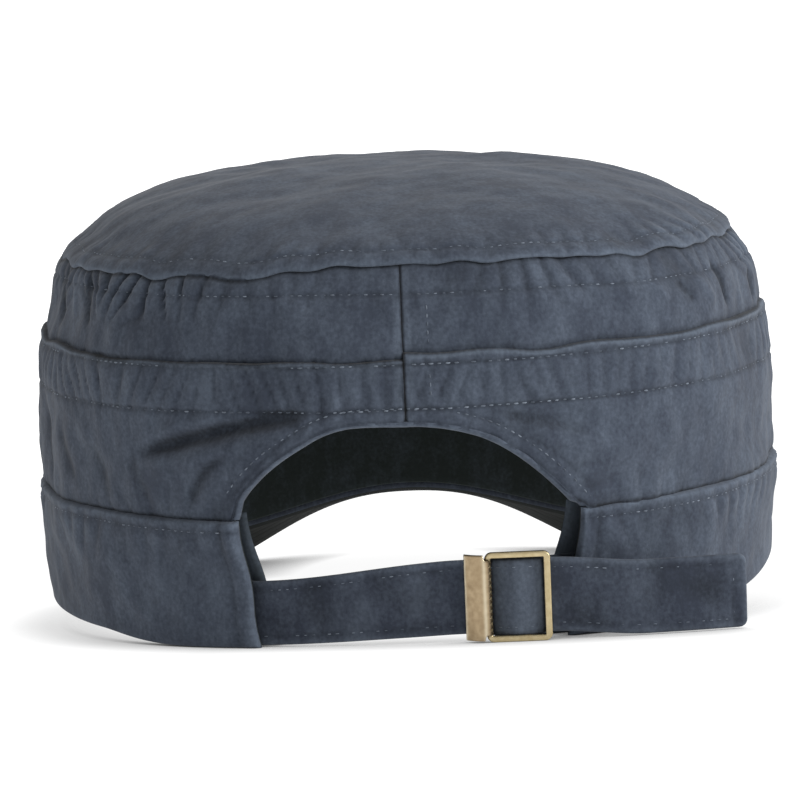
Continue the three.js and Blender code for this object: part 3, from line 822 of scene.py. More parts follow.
def linear(code: str) -> tuple[float, float, float, float]:
    """Colour of a hex code as light: the standard curve with a power of 2.4.

    Args:
        code: six hex digits after a hash sign.

    Returns:
        Red, green, blue and 1.
    """
    value = np.array([int(code[k : k + 2], 16) for k in (1, 3, 5)]) / 255
    light = np.where(value <= 0.04045, value / 12.92, ((value + 0.055) / 1.055) ** 2.4)
    return (*light.tolist(), 1.0)


class Palette:
    """An empty material and short ways to add the nodes that the finishes share."""

    def __init__(self, name: str) -> None:
        """Makes the material.

        Args:
            name: name of the material.
        """
        self.material = bpy.data.materials.new(name)
        self.material.use_nodes = True
        self.tree = self.material.node_tree
        self.tree.nodes.clear()
        self.place = self.add("TexCoord").outputs["Object"]

    def add(self, kind: str, inputs: dict | None = None, **settings: object) -> bpy.types.Node:
        """Adds a shader node, sets it, and fills or links its inputs.

        Args:
            kind: its type name without the first word.
            inputs: a value, or the socket to link, by the input's name or number.
            **settings: the node's own properties.

        Returns:
            The node.
        """
        node = self.tree.nodes.new("ShaderNode" + kind)
        for key, value in settings.items():
            setattr(node, key, value)
        for key, value in (inputs or {}).items():
            if isinstance(value, Socket):
                self.tree.links.new(value, node.inputs[key])
            else:
                node.inputs[key].default_value = value
        return node

    def layer(self, name: str) -> Socket:
        """Reads a number that the mesh holds at its vertices."""
        return self.add("Attribute", attribute_name=name).outputs["Fac"]

    def noise(self, place: Socket, scale: float, detail: float) -> Socket:
        """Cloudy noise of a scale per metre."""
        return self.add("TexNoise", {"Vector": place, "Scale": scale, "Detail": detail}).outputs["Fac"]

    def stretch(self, value: Socket, low: float, high: float, to_low: float, to_high: float) -> Socket:
        """Maps low and high to two other numbers, held at both ends."""
        ends = {"Value": value, "From Min": low, "From Max": high, "To Min": to_low, "To Max": to_high}
        return self.add("MapRange", ends).outputs[0]

    def plus(self, first: Socket, second: Socket) -> Socket:
        """Sum of two numbers, held between 0 and 1."""
        return self.add("Math", {0: first, 1: second}, operation="ADD", use_clamp=True).outputs[0]

    def mix(self, share: float, first: Socket, second: Socket) -> Socket:
        """Mixes two numbers, share of the second."""
        return self.add("Mix", {0: share, 2: first, 3: second}, data_type="FLOAT").outputs[0]

    def tint(self, share: Socket, first: Socket | tuple, second: str) -> Socket:
        """Mixes a colour with that of a hex code, share of the second."""
        return self.add("Mix", {0: share, 6: first, 7: linear(second)}, data_type="RGBA").outputs[2]

    def finish(self, colour: Socket, rough: Socket, height: Socket, bump: tuple, **fixed: float) -> None:
        """Adds the shader with its bump and its fixed numbers.

        Args:
            colour: the base colour.
            rough: the roughness, as a number too.
            height: what the bump follows.
            bump: its strength and its height in metres.
            **fixed: numbers of the shader's own sockets, with _ for a space.
        """
        normal = self.add("Bump", {"Height": height, "Strength": bump[0], "Distance": bump[1]}).outputs[0]
        shader = self.add("BsdfPrincipled", {"Base Color": colour, "Roughness": rough, "Normal": normal})
        for key, value in fixed.items():
            shader.inputs[key.replace("_", " ")].default_value = value
        self.add("OutputMaterial", {"Surface": shader.outputs[0]})


@dataclass(frozen=True)
class CottonFinish:
    """Garment-washed cotton twill: matt, paled by fading and painted highlight on every ridge and edge.

    The eye gets a matt dusty slate blue with no gloss, paler edges, darker valleys of painted
    shade, a fine diagonal grain and cloudy patches a few millimetres to a few centimetres wide.
    """

    name: str
    base: str
    pale: str
    dark: str
    sheen: float = 0.1
    grain: float = 0.4
    rough: float = 0.93
    twill_pitch: float = 1.1  # mm; the real wales are 0.5 mm, under two pixels, so drawn coarser

    def make(self) -> Cloth:
        """Builds the material.

        Returns:
            The material.
        """
        kit = Palette(self.name)
        flat = kit.add("UVMap", uv_map="UVMap").outputs[0]
        tall = kit.add("Mapping", {"Vector": kit.place, "Scale": (1.0, 1.0, 0.45)}).outputs[0]
        slub = kit.add("Mapping", {"Vector": flat, "Scale": (1000.0, 560.0, 1.0)}).outputs[0]
        turned = kit.add("Mapping", {"Vector": flat, "Rotation": (0.0, 0.0, 63 * DEGREE)}).outputs[0]
        waves = {"Vector": turned, "Scale": 50.0 / self.twill_pitch, "Distortion": 1.4, "Detail": 1.0}
        twill = kit.add("TexWave", waves).outputs["Fac"]
        # Specks of a millimetre with slubs along the yarn, and clouds of 3 and 10 mm drawn out upwards.
        mottle = kit.mix(0.35, kit.noise(kit.place, 1100.0, 2.0), kit.noise(slub, 1.0, 2.0))
        clouds = kit.mix(0.45, kit.noise(tall, 95.0, 5.0), kit.noise(tall, 290.0, 4.0))
        patches = kit.stretch(kit.mix(0.25, clouds, mottle), 0.37, 0.63, -0.33, 0.33)
        # The mesh's pale layer, fading plus painted highlight, and random patches mix in the pale colour.
        faded_and_highlit = kit.tint(kit.plus(kit.layer("paleness"), patches), linear(self.base), self.pale)
        flecks = kit.stretch(mottle, 0.35, 0.65, 0.14, -0.08)
        # Painted shade: the mesh's shade layer, with random flecks, mixes in the dark colour.
        colour = kit.tint(kit.plus(kit.layer("shade"), flecks), faded_and_highlit, self.dark)
        fixed = {"Sheen_Weight": self.sheen, "Sheen_Roughness": 0.6, "Specular_IOR_Level": 0.12}
        kit.finish(colour, self.rough, kit.mix(0.55, twill, mottle), (self.grain, 0.0004), **fixed)
        return kit.material


@dataclass(frozen=True)
class BrassFinish:
    """Antiqued brass: warm metal, with painted shade in its gaps and a painted highlight on its edges.

    The eye gets soft, wide highlights on the bars and a brown tarnish in cloudy patches.
    """

    name: str = "antique_brass"
    bright: str = "#ccbd98"
    dull: str = "#bba982"
    edge_highlight: str = "#e9dfc4"
    gap_shade: str = "#1d1912"

    def make(self) -> Cloth:
        """Builds the material.

        Returns:
            The material.
        """
        kit = Palette(self.name)
        patch = kit.noise(kit.place, 700.0, 3.0)
        colour = kit.tint(kit.stretch(patch, 0.25, 0.75, 0.0, 1.0), linear(self.dull), self.bright)
        # Painted highlight from the pale layer and painted shade from the shade layer.
        colour = kit.tint(kit.layer("shade"), kit.tint(kit.layer("paleness"), colour, self.edge_highlight), self.gap_shade)
        kit.finish(colour, kit.stretch(patch, 0.3, 0.7, 0.48, 0.3), patch, (0.1, 0.0001), Metallic=1.0)
        return kit.material


@dataclass
class Wardrobe:
    """The finishes of the cap, made once."""

    cloth: list[Cloth]
    peak: list[Cloth]
    strap: list[Cloth]
    sweatband: list[Cloth]
    thread: list[Cloth]
    brass: list[Cloth]
    plate: list[Cloth]

    @classmethod
    def open(cls) -> "Wardrobe":
        """Makes every finish.

        Returns:
            The set.
        """
        # On the outer cotton and the strap cotton the third colour is the dark one that painted shade mixes
        # in.
        outer = CottonFinish("washed_cotton", "#3b424f", "#5e6876", "#14181e").make()
        strap = CottonFinish("washed_cotton_strap", "#333946", "#59626f", "#111519").make()
        # The inner, sweatband and peak-underside cottons are dark to stand for the shade inside the cap:
        # painted shade. The sweatband's pale colour is the tabs' own cloth colour.
        inner = CottonFinish("inner_cotton", "#2b3130", "#343b3c", "#1d2120", 0.0, 0.2).make()
        sweat = CottonFinish("sweatband_cotton", "#2b3130", "#4d555f", "#1d2120", 0.0, 0.2).make()
        under = CottonFinish("peak_underside_shade", "#151918", "#181c1b", "#111413", 0.0, 0.2).make()
        thread = CottonFinish("washed_thread", "#515965", "#78818d", "#333a43", 0.1, 0.2).make()
        brass = BrassFinish().make()
        plate = BrassFinish("worn_brass", "#b29e80", "#a38e70").make()
        pairs = ([outer, inner], [outer, under], [strap] * 2, [sweat] * 2, [thread], [brass] * 2, [plate] * 2)
        return cls(*pairs)


def dress(piece: Made, finish: list[Cloth], slot: Slot, body: str, *nodes: str) -> None:
    """Gives a piece its finish, the body it rides on and the nodes it stands for.

    Args:
        piece: the object.
        finish: the materials of its face and of its back.
        slot: the record's slot; not used.
        body: the moving body.
        *nodes: the faceted pieces that it replaces.
    """
    for material in finish:
        piece.data.materials.append(material)
    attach(piece, body)
    if nodes:
        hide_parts(*nodes)


# Wall


@dataclass(frozen=True)
class WallSizes:
    """Rows, cells and reliefs of the wall's pieces."""

    cell: float = 0.85
    turn: float = 0.7
    crown_row: float = 82.0
    middle_rows: tuple[float, float] = (66.2, 55.7)
    seam_row: float = 6.0
    arch_row: float = 4.3
    arch_edge: float = 1.3


class Wall:
    """Upper walls and middle bands, each in two halves, with their seams and gathers."""

    creases = (
        Crease(39, 45.2, 14, 55.2, 0.4, 2.3, 1.6),
        Crease(39, 43.0, 18, 51.4, 0.6, 2.2, -0.7),
        Crease(38, 49.6, 20, 55.6, 0.4, 1.8, -0.45),
        Crease(31.5, 33, 25.5, 45.5, 1.6, 1.3, 0.75),
        Crease(29.5, 32, 22.5, 44.0, 1.8, 1.8, -0.4),
        Crease(-13, 54.2, -26, 47.2, 0.2, 2.0, 0.6),
        Crease(-16, 50.6, -30, 44.5, 0.2, 2.2, -0.3),
        Crease(57.5, 84.5, 54.6, 73.5, 0.0, 1.9, 1.3),
        Crease(63, 84.0, 61, 75.0, 0.0, 1.5, -0.7),
        Crease(52, 83.0, 50.5, 76.5, 0.0, 1.5, -0.6),
        Crease(70, 85.0, 67, 72.5, 0.0, 1.9, 1.0),
        Crease(46, 83.5, 44.5, 79.0, 0.0, 1.3, 0.6),
        Crease(-56.5, 83.0, -58.5, 72.0, 0.0, 1.8, 1.3),
        Crease(-50, 81.5, -52.5, 73.5, 0.0, 1.8, -0.7),
        Crease(-64.5, 80.0, -65, 71.0, 0.0, 1.6, -0.6),
        Crease(-45, 81.0, -47.5, 75.0, 0.0, 1.5, 0.6),
        Crease(-39, 82.0, -42, 77.0, 0.0, 1.5, -0.35),
        Crease(-71, 79.0, -72, 70.5, 0.0, 1.8, 0.9),
        Crease(62, 47.5, 57, 36.0, 0.0, 2.0, 0.5),
        Crease(51, 45.0, 47, 33.0, 0.0, 2.2, 0.45),
        Crease(42, 44.0, 39, 33.5, 0.0, 1.7, 0.4),
        Crease(72, 50.0, 69, 34.0, 0.0, 2.2, 0.6),
    )
    # Broad dents: depth, then the middle and width in degrees and in height.
    dents = ((1.35, (88, 34), (74, 9)), (-0.7, (-88, 30), (79, 8)))

    def __init__(self, sizes: WallSizes) -> None:
        """Keeps the sizes and draws up the reliefs.

        Args:
            sizes: rows and cells.
        """
        self.sizes = sizes
        self.swell = Swell(11, 22, 55, 0.34)
        self.wrinkle = Swell(12, 6, 15, 0.12, 22)
        first, second = sizes.middle_rows
        self.crown_ring = RingGather(sizes.crown_row, FORM.wall_height, 1.7, 21, 8.2, 13.0, 0.6, 5.0, 0.55)
        self.middle_ring = RingGather(second, first, 0.95, 31, 8.0, 13.0, 0.35, 4.4, 0.35)
        self.top_ring = RingGather(first, FORM.middle_height, 0.34, 35, 5.0, 8.0, 0.2, 1.0, 0.5)
        top = FORM.band_height
        self.band_ring = RingGather(top - 3, top + 0.5, 0.5, 41, 8, 15, 0.5, 5.0, 0.8)
        self.arch_row = Gather(sizes.arch_row, 3.6, 2.4, 0.55, 71, 8, 14, 0.5, 0.3)

    def creased(self, angle: Array, z: Array) -> Array:
        """Depth of all the creases of the wall."""
        return sum(crease.at(angle, z) for crease in self.creases)

    def sharp(self, angle: Array, z: Array) -> Array:
        """Gathers, creases and the grooves of the stitch rows.

        Args:
            angle: radians from the back centre.
            z: height.

        Returns:
            Millimetres outwards.
        """
        degrees = from_back(angle)
        upper = z > FORM.middle_height - 0.4
        first, second = self.sizes.middle_rows
        raised = z + (FORM.wall_height - FORM.seam_height(angle)) * ease(z, 72, 80)
        strength = (0.4 + 0.6 * ease(np.abs(degrees), 5, 24)) * (1 - 0.55 * bell(degrees, -24, 16))
        high = strength * self.crown_ring.at(angle, raised) - 0.4 * bell(z, self.sizes.crown_row, 0.6)
        low = (1 - 0.5 * bell(degrees, -24, 18)) * self.middle_ring.at(angle, z)
        low = low + self.top_ring.at(angle, z) + self.band_ring.at(angle, z)
        low = low - 0.3 * bell(z, first, 0.55) - 0.35 * bell(z, second, 0.6)
        back = np.cos(angle) > 0.5
        away, along = FORM.from_arch(FORM.wall(angle, z, 0, False)[..., 0], z)
        round_arch = self.arch_row.at(along / MEAN_RADIUS, away) * ease(away, 1.7, 3.3)
        low = low * np.where(back, 0.1 + 0.9 * ease(away, 2.5, 9), 1.0) + np.where(back, round_arch, 0.0)
        return np.where(upper, high, low) - self.creased(angle, z)

    def relief(self, angle: Array, z: Array) -> Array:
        """Height of the wall's cloth over its even thickness.

        Args:
            angle: radians from the back centre.
            z: height.

        Returns:
            Millimetres outwards.
        """
        degrees = from_back(angle)
        flat = sum(deep * bell(degrees, *around) * bell(z, *up) for deep, around, up in self.dents)
        return self.swell.at(angle, z) + self.wrinkle.at(angle, z) + self.sharp(angle, z) - flat

    def place(self, angle: Array, z: Array, cloth: float) -> Array:
        """Outer points of the wall."""
        return FORM.wall(angle, z, cloth + self.relief(angle, z))

    def half(
        self, name: str, side: Side, low: Curve, high: Curve, cloth: float, tuck: tuple[float, float]
    ) -> Made:
        """One half of a ring of the wall, whose outer face turns in at its edges.

        Both halves meet at the centre planes, where the outer face dips to half of the
        cloth. Past a tucked edge the cloth runs on behind its neighbour.

        Args:
            name: name of the object.
            side: which half.
            low: height of the lower edge at angles.
            high: height of the upper edge at angles.
            cloth: thickness.
            tuck: how far the cloth runs on under and over its edges.

        Returns:
            The object.
        """
        sizes = self.sizes
        u = spread(np.pi * MEAN_RADIUS, sizes.cell, sizes.turn) * np.pi
        foot, head = low(side.value * u)[:, None] - tuck[0], high(side.value * u)[:, None] + tuck[1]
        u, v = grid(u, spread(float((head - foot).max()), sizes.cell * 0.85, sizes.turn))
        angle = side.value * u
        z = foot + (head - foot) * v
        end = np.minimum(u, u[-1] - u) * MEAN_RADIUS
        under, over = z - foot - tuck[0], head - tuck[1] - z
        fold = np.minimum(under if tuck[0] == 0 else under + 9, over if tuck[1] == 0 else over + 9)
        seam = np.minimum(np.abs(under), np.abs(over))
        turned = 0.45 + 0.55 * rounding(fold, sizes.turn)
        meeting = 0.5 + 0.5 * rounding(end, 0.8)
        relief = self.relief(angle, z) * ease(end, -0.4, 0.9) * ease(fold, -0.2, 2.0)
        sunk = 0.4 * (bell(over, 0, 0.7) if tuck[1] else 0.0)
        sunk = sunk + 0.3 * (bell(under, 0, 0.7) if tuck[0] else 0.0)
        out = (cloth + relief) * turned * meeting - sunk
        outer = FORM.wall(angle, z, out)
        inner = FORM.wall(angle, z, np.minimum(0, out - 0.8 * turned * meeting))
        sharp = self.sharp(angle, z)
        # Paler along the middle band's top edge, beside the seams at the half's ends and on the ridges:
        # fading plus painted highlight.
        edge = bell(over, 0.7, 0.55) if tuck[1] == 0 else 0.0
        paleness = 0.2 + 0.95 * edge + 0.55 * bell(end, 1.1, 0.6) + 0.45 * np.clip(sharp, 0, 0.8)
        # Painted shade in the valleys, on the seam lines at the half's ends and in the grooves of the middle
        # band's rows.
        shade = 0.1 + 0.7 * np.clip(-sharp, 0, 0.8) + 0.55 * bell(end, 0, 0.45)
        shade = shade + 0.22 * sum(bell(z, row, 0.5) for row in sizes.middle_rows)
        # Painted shade along the seams at the tucked edges; on the middle band it is weaker round the arch.
        if tuck[0] or tuck[1]:
            level = np.abs(z - FORM.band_height) < 2.5 if tuck[1] == 0 else True
            dark = np.where(level | (np.abs(over) < 3), 1.0, 0.35)
            shade = shade + dark * (0.6 * bell(seam, 0, 0.4) + 0.12 * bell(seam, 0, 1.8))
        uv = np.stack([angle * MEAN_RADIUS, z], -1)
        return ClothSheet(name, outer, inner, uv, paleness, shade).build()

    def row(self, angle: Array, z: float, cloth: float) -> Pair:
        """A stitch row round the wall.

        Args:
            angle: radians, in order.
            z: height of the row.
            cloth: thickness.

        Returns:
            Points and directions.
        """
        level = np.full(angle.shape, z)
        above = level + 0.5
        return row_on(lambda at: self.place(at, level, cloth), angle, lambda at: self.place(at, above, cloth))

    def build(self, wardrobe: Wardrobe) -> None:
        """Builds the four halves and their rows of stitches.

        Args:
            wardrobe: the finishes.
        """
        half_corner = FORM.arch_half + self.sizes.arch_edge + FORM.gap
        corner = float(FORM.angle_at(np.array(half_corner), np.array(FORM.band_height)))
        wobble = Ripple(51, 14, 45, 10)

        def middle_low(angle: Array) -> Array:
            """Lower edge of the middle band: round the arch, then along the bottom band."""
            x = FORM.wall(angle, np.full(angle.shape, FORM.band_height), 0, False)[..., 0]
            return np.where(np.abs(angle) < corner, FORM.lap(x, self.sizes.arch_edge), FORM.band_height)

        def middle_top(angle: Array) -> Array:
            """Upper edge of the middle band: a little wavy, lower on the wearer's left.

            Args:
                angle: radians from the back centre.

            Returns:
                Heights.
            """
            degrees = from_back(angle)
            left, right = -1.15 * (1 - ease(degrees, 45, 80)), 0.45 * (1 - ease(-degrees, 8, 30))
            return FORM.middle_height + 0.25 * wobble.at(angle) + np.where(angle > 0, left, right)

        rows_upper, rows_middle = [], []
        for side in Side:
            word = side.name.lower()
            name = f"upper_wall_cloth_{word}"
            upper = self.half(name, side, middle_top, FORM.seam_height, FORM.upper_cloth, (0.9, 0.5))
            dress(upper, wardrobe.cloth, Slot.CLOTH, "cap", f"upper_wall_{word}")
            name = f"middle_band_cloth_{word}"
            middle = self.half(name, side, middle_low, middle_top, FORM.middle_cloth, (0.5, 0.0))
            dress(middle, wardrobe.cloth, Slot.CLOTH, "cap", f"middle_band_{word}")
            round_half = side.value * np.linspace(0.008, np.pi - 0.008, 900)
            rows_upper.append(self.row(round_half, self.sizes.crown_row, FORM.upper_cloth))
            for z in self.sizes.middle_rows:
                rows_middle.append(self.row(round_half, z, FORM.middle_cloth))
        heights = np.linspace(FORM.middle_height + 1.5, self.sizes.crown_row - 1, 60)
        rows_upper.append(self.seam_rows(heights, FORM.upper_cloth))
        heights = np.linspace(FORM.lap(np.array(6.0), 6.0), FORM.middle_height - 3, 60)
        rows_middle.append(self.seam_rows(heights, FORM.middle_cloth))
        sew("stitches_upper_wall", rows_upper, wardrobe)
        sew("stitches_middle_band", rows_middle, wardrobe, Thread(1.35, 2.0, 0.23, 0.14))

    def seam_rows(self, heights: Array, cloth: float) -> Pair:
        """The upright row beside the back centre seam, on the wearer's right.

        Args:
            heights: heights along the row.
            cloth: thickness.

        Returns:
            Points and directions.
        """
        angle = -self.sizes.seam_row / FORM.half_depth
        return row_on(
            lambda z: self.place(np.full(z.shape, angle), z, cloth), heights,
            lambda z: self.place(np.full(z.shape, angle - 0.005), z, cloth),
        )


# Crown


@dataclass(frozen=True)
class CrownSizes:
    """Cells of the crown and its stitch row's distance from the edge."""

    columns: int = 620
    row: float = 4.4
    turn: float = 1.3
    lip: float = 0.4


class Crown:
    """Top panel: a soft dome with a turned edge and one row of stitches."""

    # Broad fullness: rise, then the middle and width in mm from the seam and in degrees.
    swells = ((0.8, (24, 15), (92, 46)), (1.2, (34, 20), (-104, 50)))

    def __init__(self, sizes: CrownSizes) -> None:
        """Keeps the sizes and draws up the reliefs.

        Args:
            sizes: cells and row.
        """
        self.sizes = sizes
        self.gather = Gather(sizes.row, 4.5, 3.5, 0.42, 61, 8, 16, 0.4, 0.25)
        self.broad = Swell(62, 26, 60, 0.4)
        self.small = Swell(63, 8, 22, 0.12)

    def point(self, angle: Array, reach: Array, out: Array) -> Array:
        """Dome: the seam's outline shrunk by reach, its height 1 - reach^power to a power.

        Args:
            angle: radians from the back centre.
            reach: 1 at the edge, 0 at the middle.
            out: distance out of the inner face.

        Returns:
            Points (..., 3).
        """
        lip = FORM.upper_cloth + self.sizes.lip - FORM.crown_cloth + out
        seam = FORM.seam_height(angle)
        edge = FORM.plan(angle, FORM.size_share(seam / FORM.wall_height), lip) * np.asarray(reach)[..., None]
        dome = (1 - reach**FORM.crown_power) ** FORM.crown_round
        foot = FORM.wall_height + (seam - FORM.wall_height) * reach**5
        z = foot + (FORM.crown_rise - FORM.crown_cloth + out) * dome
        return np.concatenate([edge, z[..., None]], -1)

    def distance(self) -> Pair:
        """Reaches from the edge in, with their distances along the cloth.

        Returns:
            The reaches and the millimetres from the edge.
        """
        fine = 1 - np.linspace(0, 1, 4000) ** 2
        return fine, run_of(self.point(np.zeros(fine.shape), fine, np.zeros(fine.shape)))

    def relief(self, angle: Array, reach: Array, away: Array) -> Array:
        """Swell of the flat panel and the gathers of its row.

        Args:
            angle: radians.
            reach: 1 at the edge.
            away: distance from the edge along the cloth.

        Returns:
            Millimetres outwards.
        """
        flat_x, flat_y = reach * np.sin(angle), reach * np.cos(angle)
        soft = self.broad.at(flat_x, flat_y * MEAN_RADIUS) + self.small.at(flat_x, flat_y * MEAN_RADIUS)
        degrees = from_back(angle)
        hollow = bell(away, 9.0, 4.0) - 0.2 * bell(away, 3.0, 2.5)
        hollow = hollow * (1.1 * bell(degrees, 76, 30) + 0.5 * bell(degrees, -84, 24))
        full = sum(rise * bell(away, *far) * bell(degrees, *around) for rise, far, around in self.swells)
        hollow = hollow + 0.9 * bell(away, 3.0, 5.0) * bell(degrees, 84, 18) - full
        return soft * ease(away, 0, 6) + self.gather.at(angle, away) * ease(away, 0, 1.5) - hollow

    def build(self, wardrobe: Wardrobe) -> None:
        """Builds the panel and its stitches.

        Args:
            wardrobe: the finishes.
        """
        fine, run = self.distance()
        close = 1 - np.cos(np.linspace(0, np.pi / 2, 5))
        wanted = np.concatenate([close * 0.8, 0.8 + np.linspace(0, 1, 14)[1:] * 9.2])
        wide = 10 + (run[-1] - 10) * np.linspace(0, 1, 34)[1:] ** 1.15
        wanted = np.concatenate([wanted, wide[:-1], [run[-1] - 0.6]])
        angle, away = grid(np.linspace(0, 2 * np.pi, self.sizes.columns, endpoint=False), wanted)
        reach = np.interp(away, run, fine)
        relief = self.relief(angle, reach, away)
        half = FORM.crown_cloth / 2
        thick = rounding(away, self.sizes.turn)
        outer = self.point(angle, reach, half + relief + half * thick)
        inner = self.point(angle, reach, half + relief - half * thick)
        uv = outer[..., :2].copy()
        sharp = self.gather.at(angle, away) * ease(away, 0, 1.5)
        # Paler on the turned edge and the gathers' ridges, fading plus painted highlight; painted shade in
        # the gathers' valleys.
        paleness = 0.2 + 0.6 * bell(away, 0, 1.3) + 0.6 * np.clip(sharp, 0, 1)
        shade = 0.1 + 1.0 * np.clip(-sharp, 0, 0.6)
        made = ClothSheet("crown_cloth", outer, inner, uv, paleness, shade, pole=True).build()
        dress(made, wardrobe.cloth, Slot.CLOTH, "cap", "crown_top")
        at = np.linspace(0, 2 * np.pi, 2400)
        row_reach = np.full(at.shape, float(np.interp(self.sizes.row, run, fine)))
        inside = np.full(at.shape, float(np.interp(self.sizes.row + 0.5, run, fine)))
        level = np.full(at.shape, self.sizes.row)
        rows = [
            row_on(
                lambda a: self.point(a, row_reach, FORM.crown_cloth + self.relief(a, row_reach, level)), at,
                lambda a: self.point(a, inside, FORM.crown_cloth + self.relief(a, inside, level + 0.5)),
            )
        ]
        sew("stitches_crown", rows, wardrobe)


# Facing of the arch


@dataclass(frozen=True)
class FacingSizes:
    """Cells of the facing and how far its rolled edge shows."""

    columns: int = 260
    rows: int = 26
    edge: float = 2.0
    turn: float = 0.9


class ArchFacing:
    """Strip round the opening: a rolled edge with painted highlight that runs on under the middle band."""

    def __init__(self, sizes: FacingSizes, wall: Wall) -> None:
        """Keeps the sizes and the wall."""
        self.sizes = sizes
        self.wall = wall

    def width(self, u: Array) -> Array:
        """Width of the strip: facing_top in the middle, widening to facing_side."""
        return FORM.facing_top + (FORM.facing_side - FORM.facing_top) * np.abs(u) ** 3

    def place(self, u: Array, v: Array, out: Array) -> Array:
        """Between the arc of the opening and the wider outer arc, on the wall.

        Args:
            u: place along the strip, -1 to 1.
            v: place across it, 0 at the opening.
            out: distance out of the wall's inside.

        Returns:
            Points (..., 3).
        """
        inner_x = FORM.arch_half * u
        outer_x = (FORM.arch_half + FORM.facing_side) * u
        inner_z = FORM.band_height + FORM.gap + FORM.arc_height(inner_x, FORM.arch_half, FORM.arch_rise)
        x = inner_x + (outer_x - inner_x) * v
        z = inner_z + (FORM.facing_outer(outer_x) - inner_z) * v
        return FORM.wall(FORM.angle_at(x, z), z, out)

    def on_wall(self, u: Array, further: float) -> Array:
        """Points of the row on the outside of the middle band.

        Args:
            u: place along the arc, -1 to 1.
            further: distance past the row.

        Returns:
            Points (..., 3).
        """
        wide = self.wall.sizes.arch_row + further
        x = (FORM.arch_half + wide) * u
        z = FORM.lap(x, wide)
        return self.wall.place(FORM.angle_at(x, z), z, FORM.middle_cloth)

    def build(self, wardrobe: Wardrobe) -> None:
        """Builds the strip and its row.

        Args:
            wardrobe: the finishes.
        """
        sizes = self.sizes
        t = spread(110.0, 110.0 / sizes.columns, sizes.turn) * 2 - 1
        u, v = grid(np.sin(t * np.pi / 2), spread(9.0, 9.0 / sizes.rows, sizes.turn))
        inside = v * self.width(u)
        roll = rounding(inside, sizes.turn)
        soft = 0.25 * Ripple(73, 5, 16, 16).at(u * 0.62)
        under = ease(inside, sizes.edge - 0.9, sizes.edge - 0.1)
        middle = FORM.middle_cloth / 2 - 0.1 + 0.4 * soft * (1 - under)
        outer = self.place(u, v, (middle + middle * roll) * (1 - under) + 0.3 * under)
        inner = self.place(u, v, (middle - (middle + 0.25) * roll) * (1 - under) - 0.4 * under)
        uv = np.stack([u * 50, inside], -1)
        # A painted highlight along the rolled edge.
        paleness = 0.22 + 0.35 * bell(inside, 0.5, 0.8)
        made = ClothSheet("arch_facing_cloth", outer, inner, uv, paleness, 0.05 + 0 * paleness).build()
        dress(made, wardrobe.cloth, Slot.CLOTH, "cap", "arch_facing")
        at = np.linspace(-0.97, 0.97, 700)
        rows = [row_on(lambda a: self.on_wall(a, 0.0), at, lambda a: self.on_wall(a, 0.4))]
        sew("stitches_facing", rows, wardrobe)


# Bottom band and sweatband


@dataclass(frozen=True)
class BottomBandSizes:
    """Cells and rows of the bottom band."""

    length: float = 510.0
    cell: float = 0.85
    turn: float = 0.8
    top_row: float = 27.3
    tab_left: tuple[float, float] = (2.7, -0.9)
    tab_right: tuple[float, float] = (5.0, 0.6)


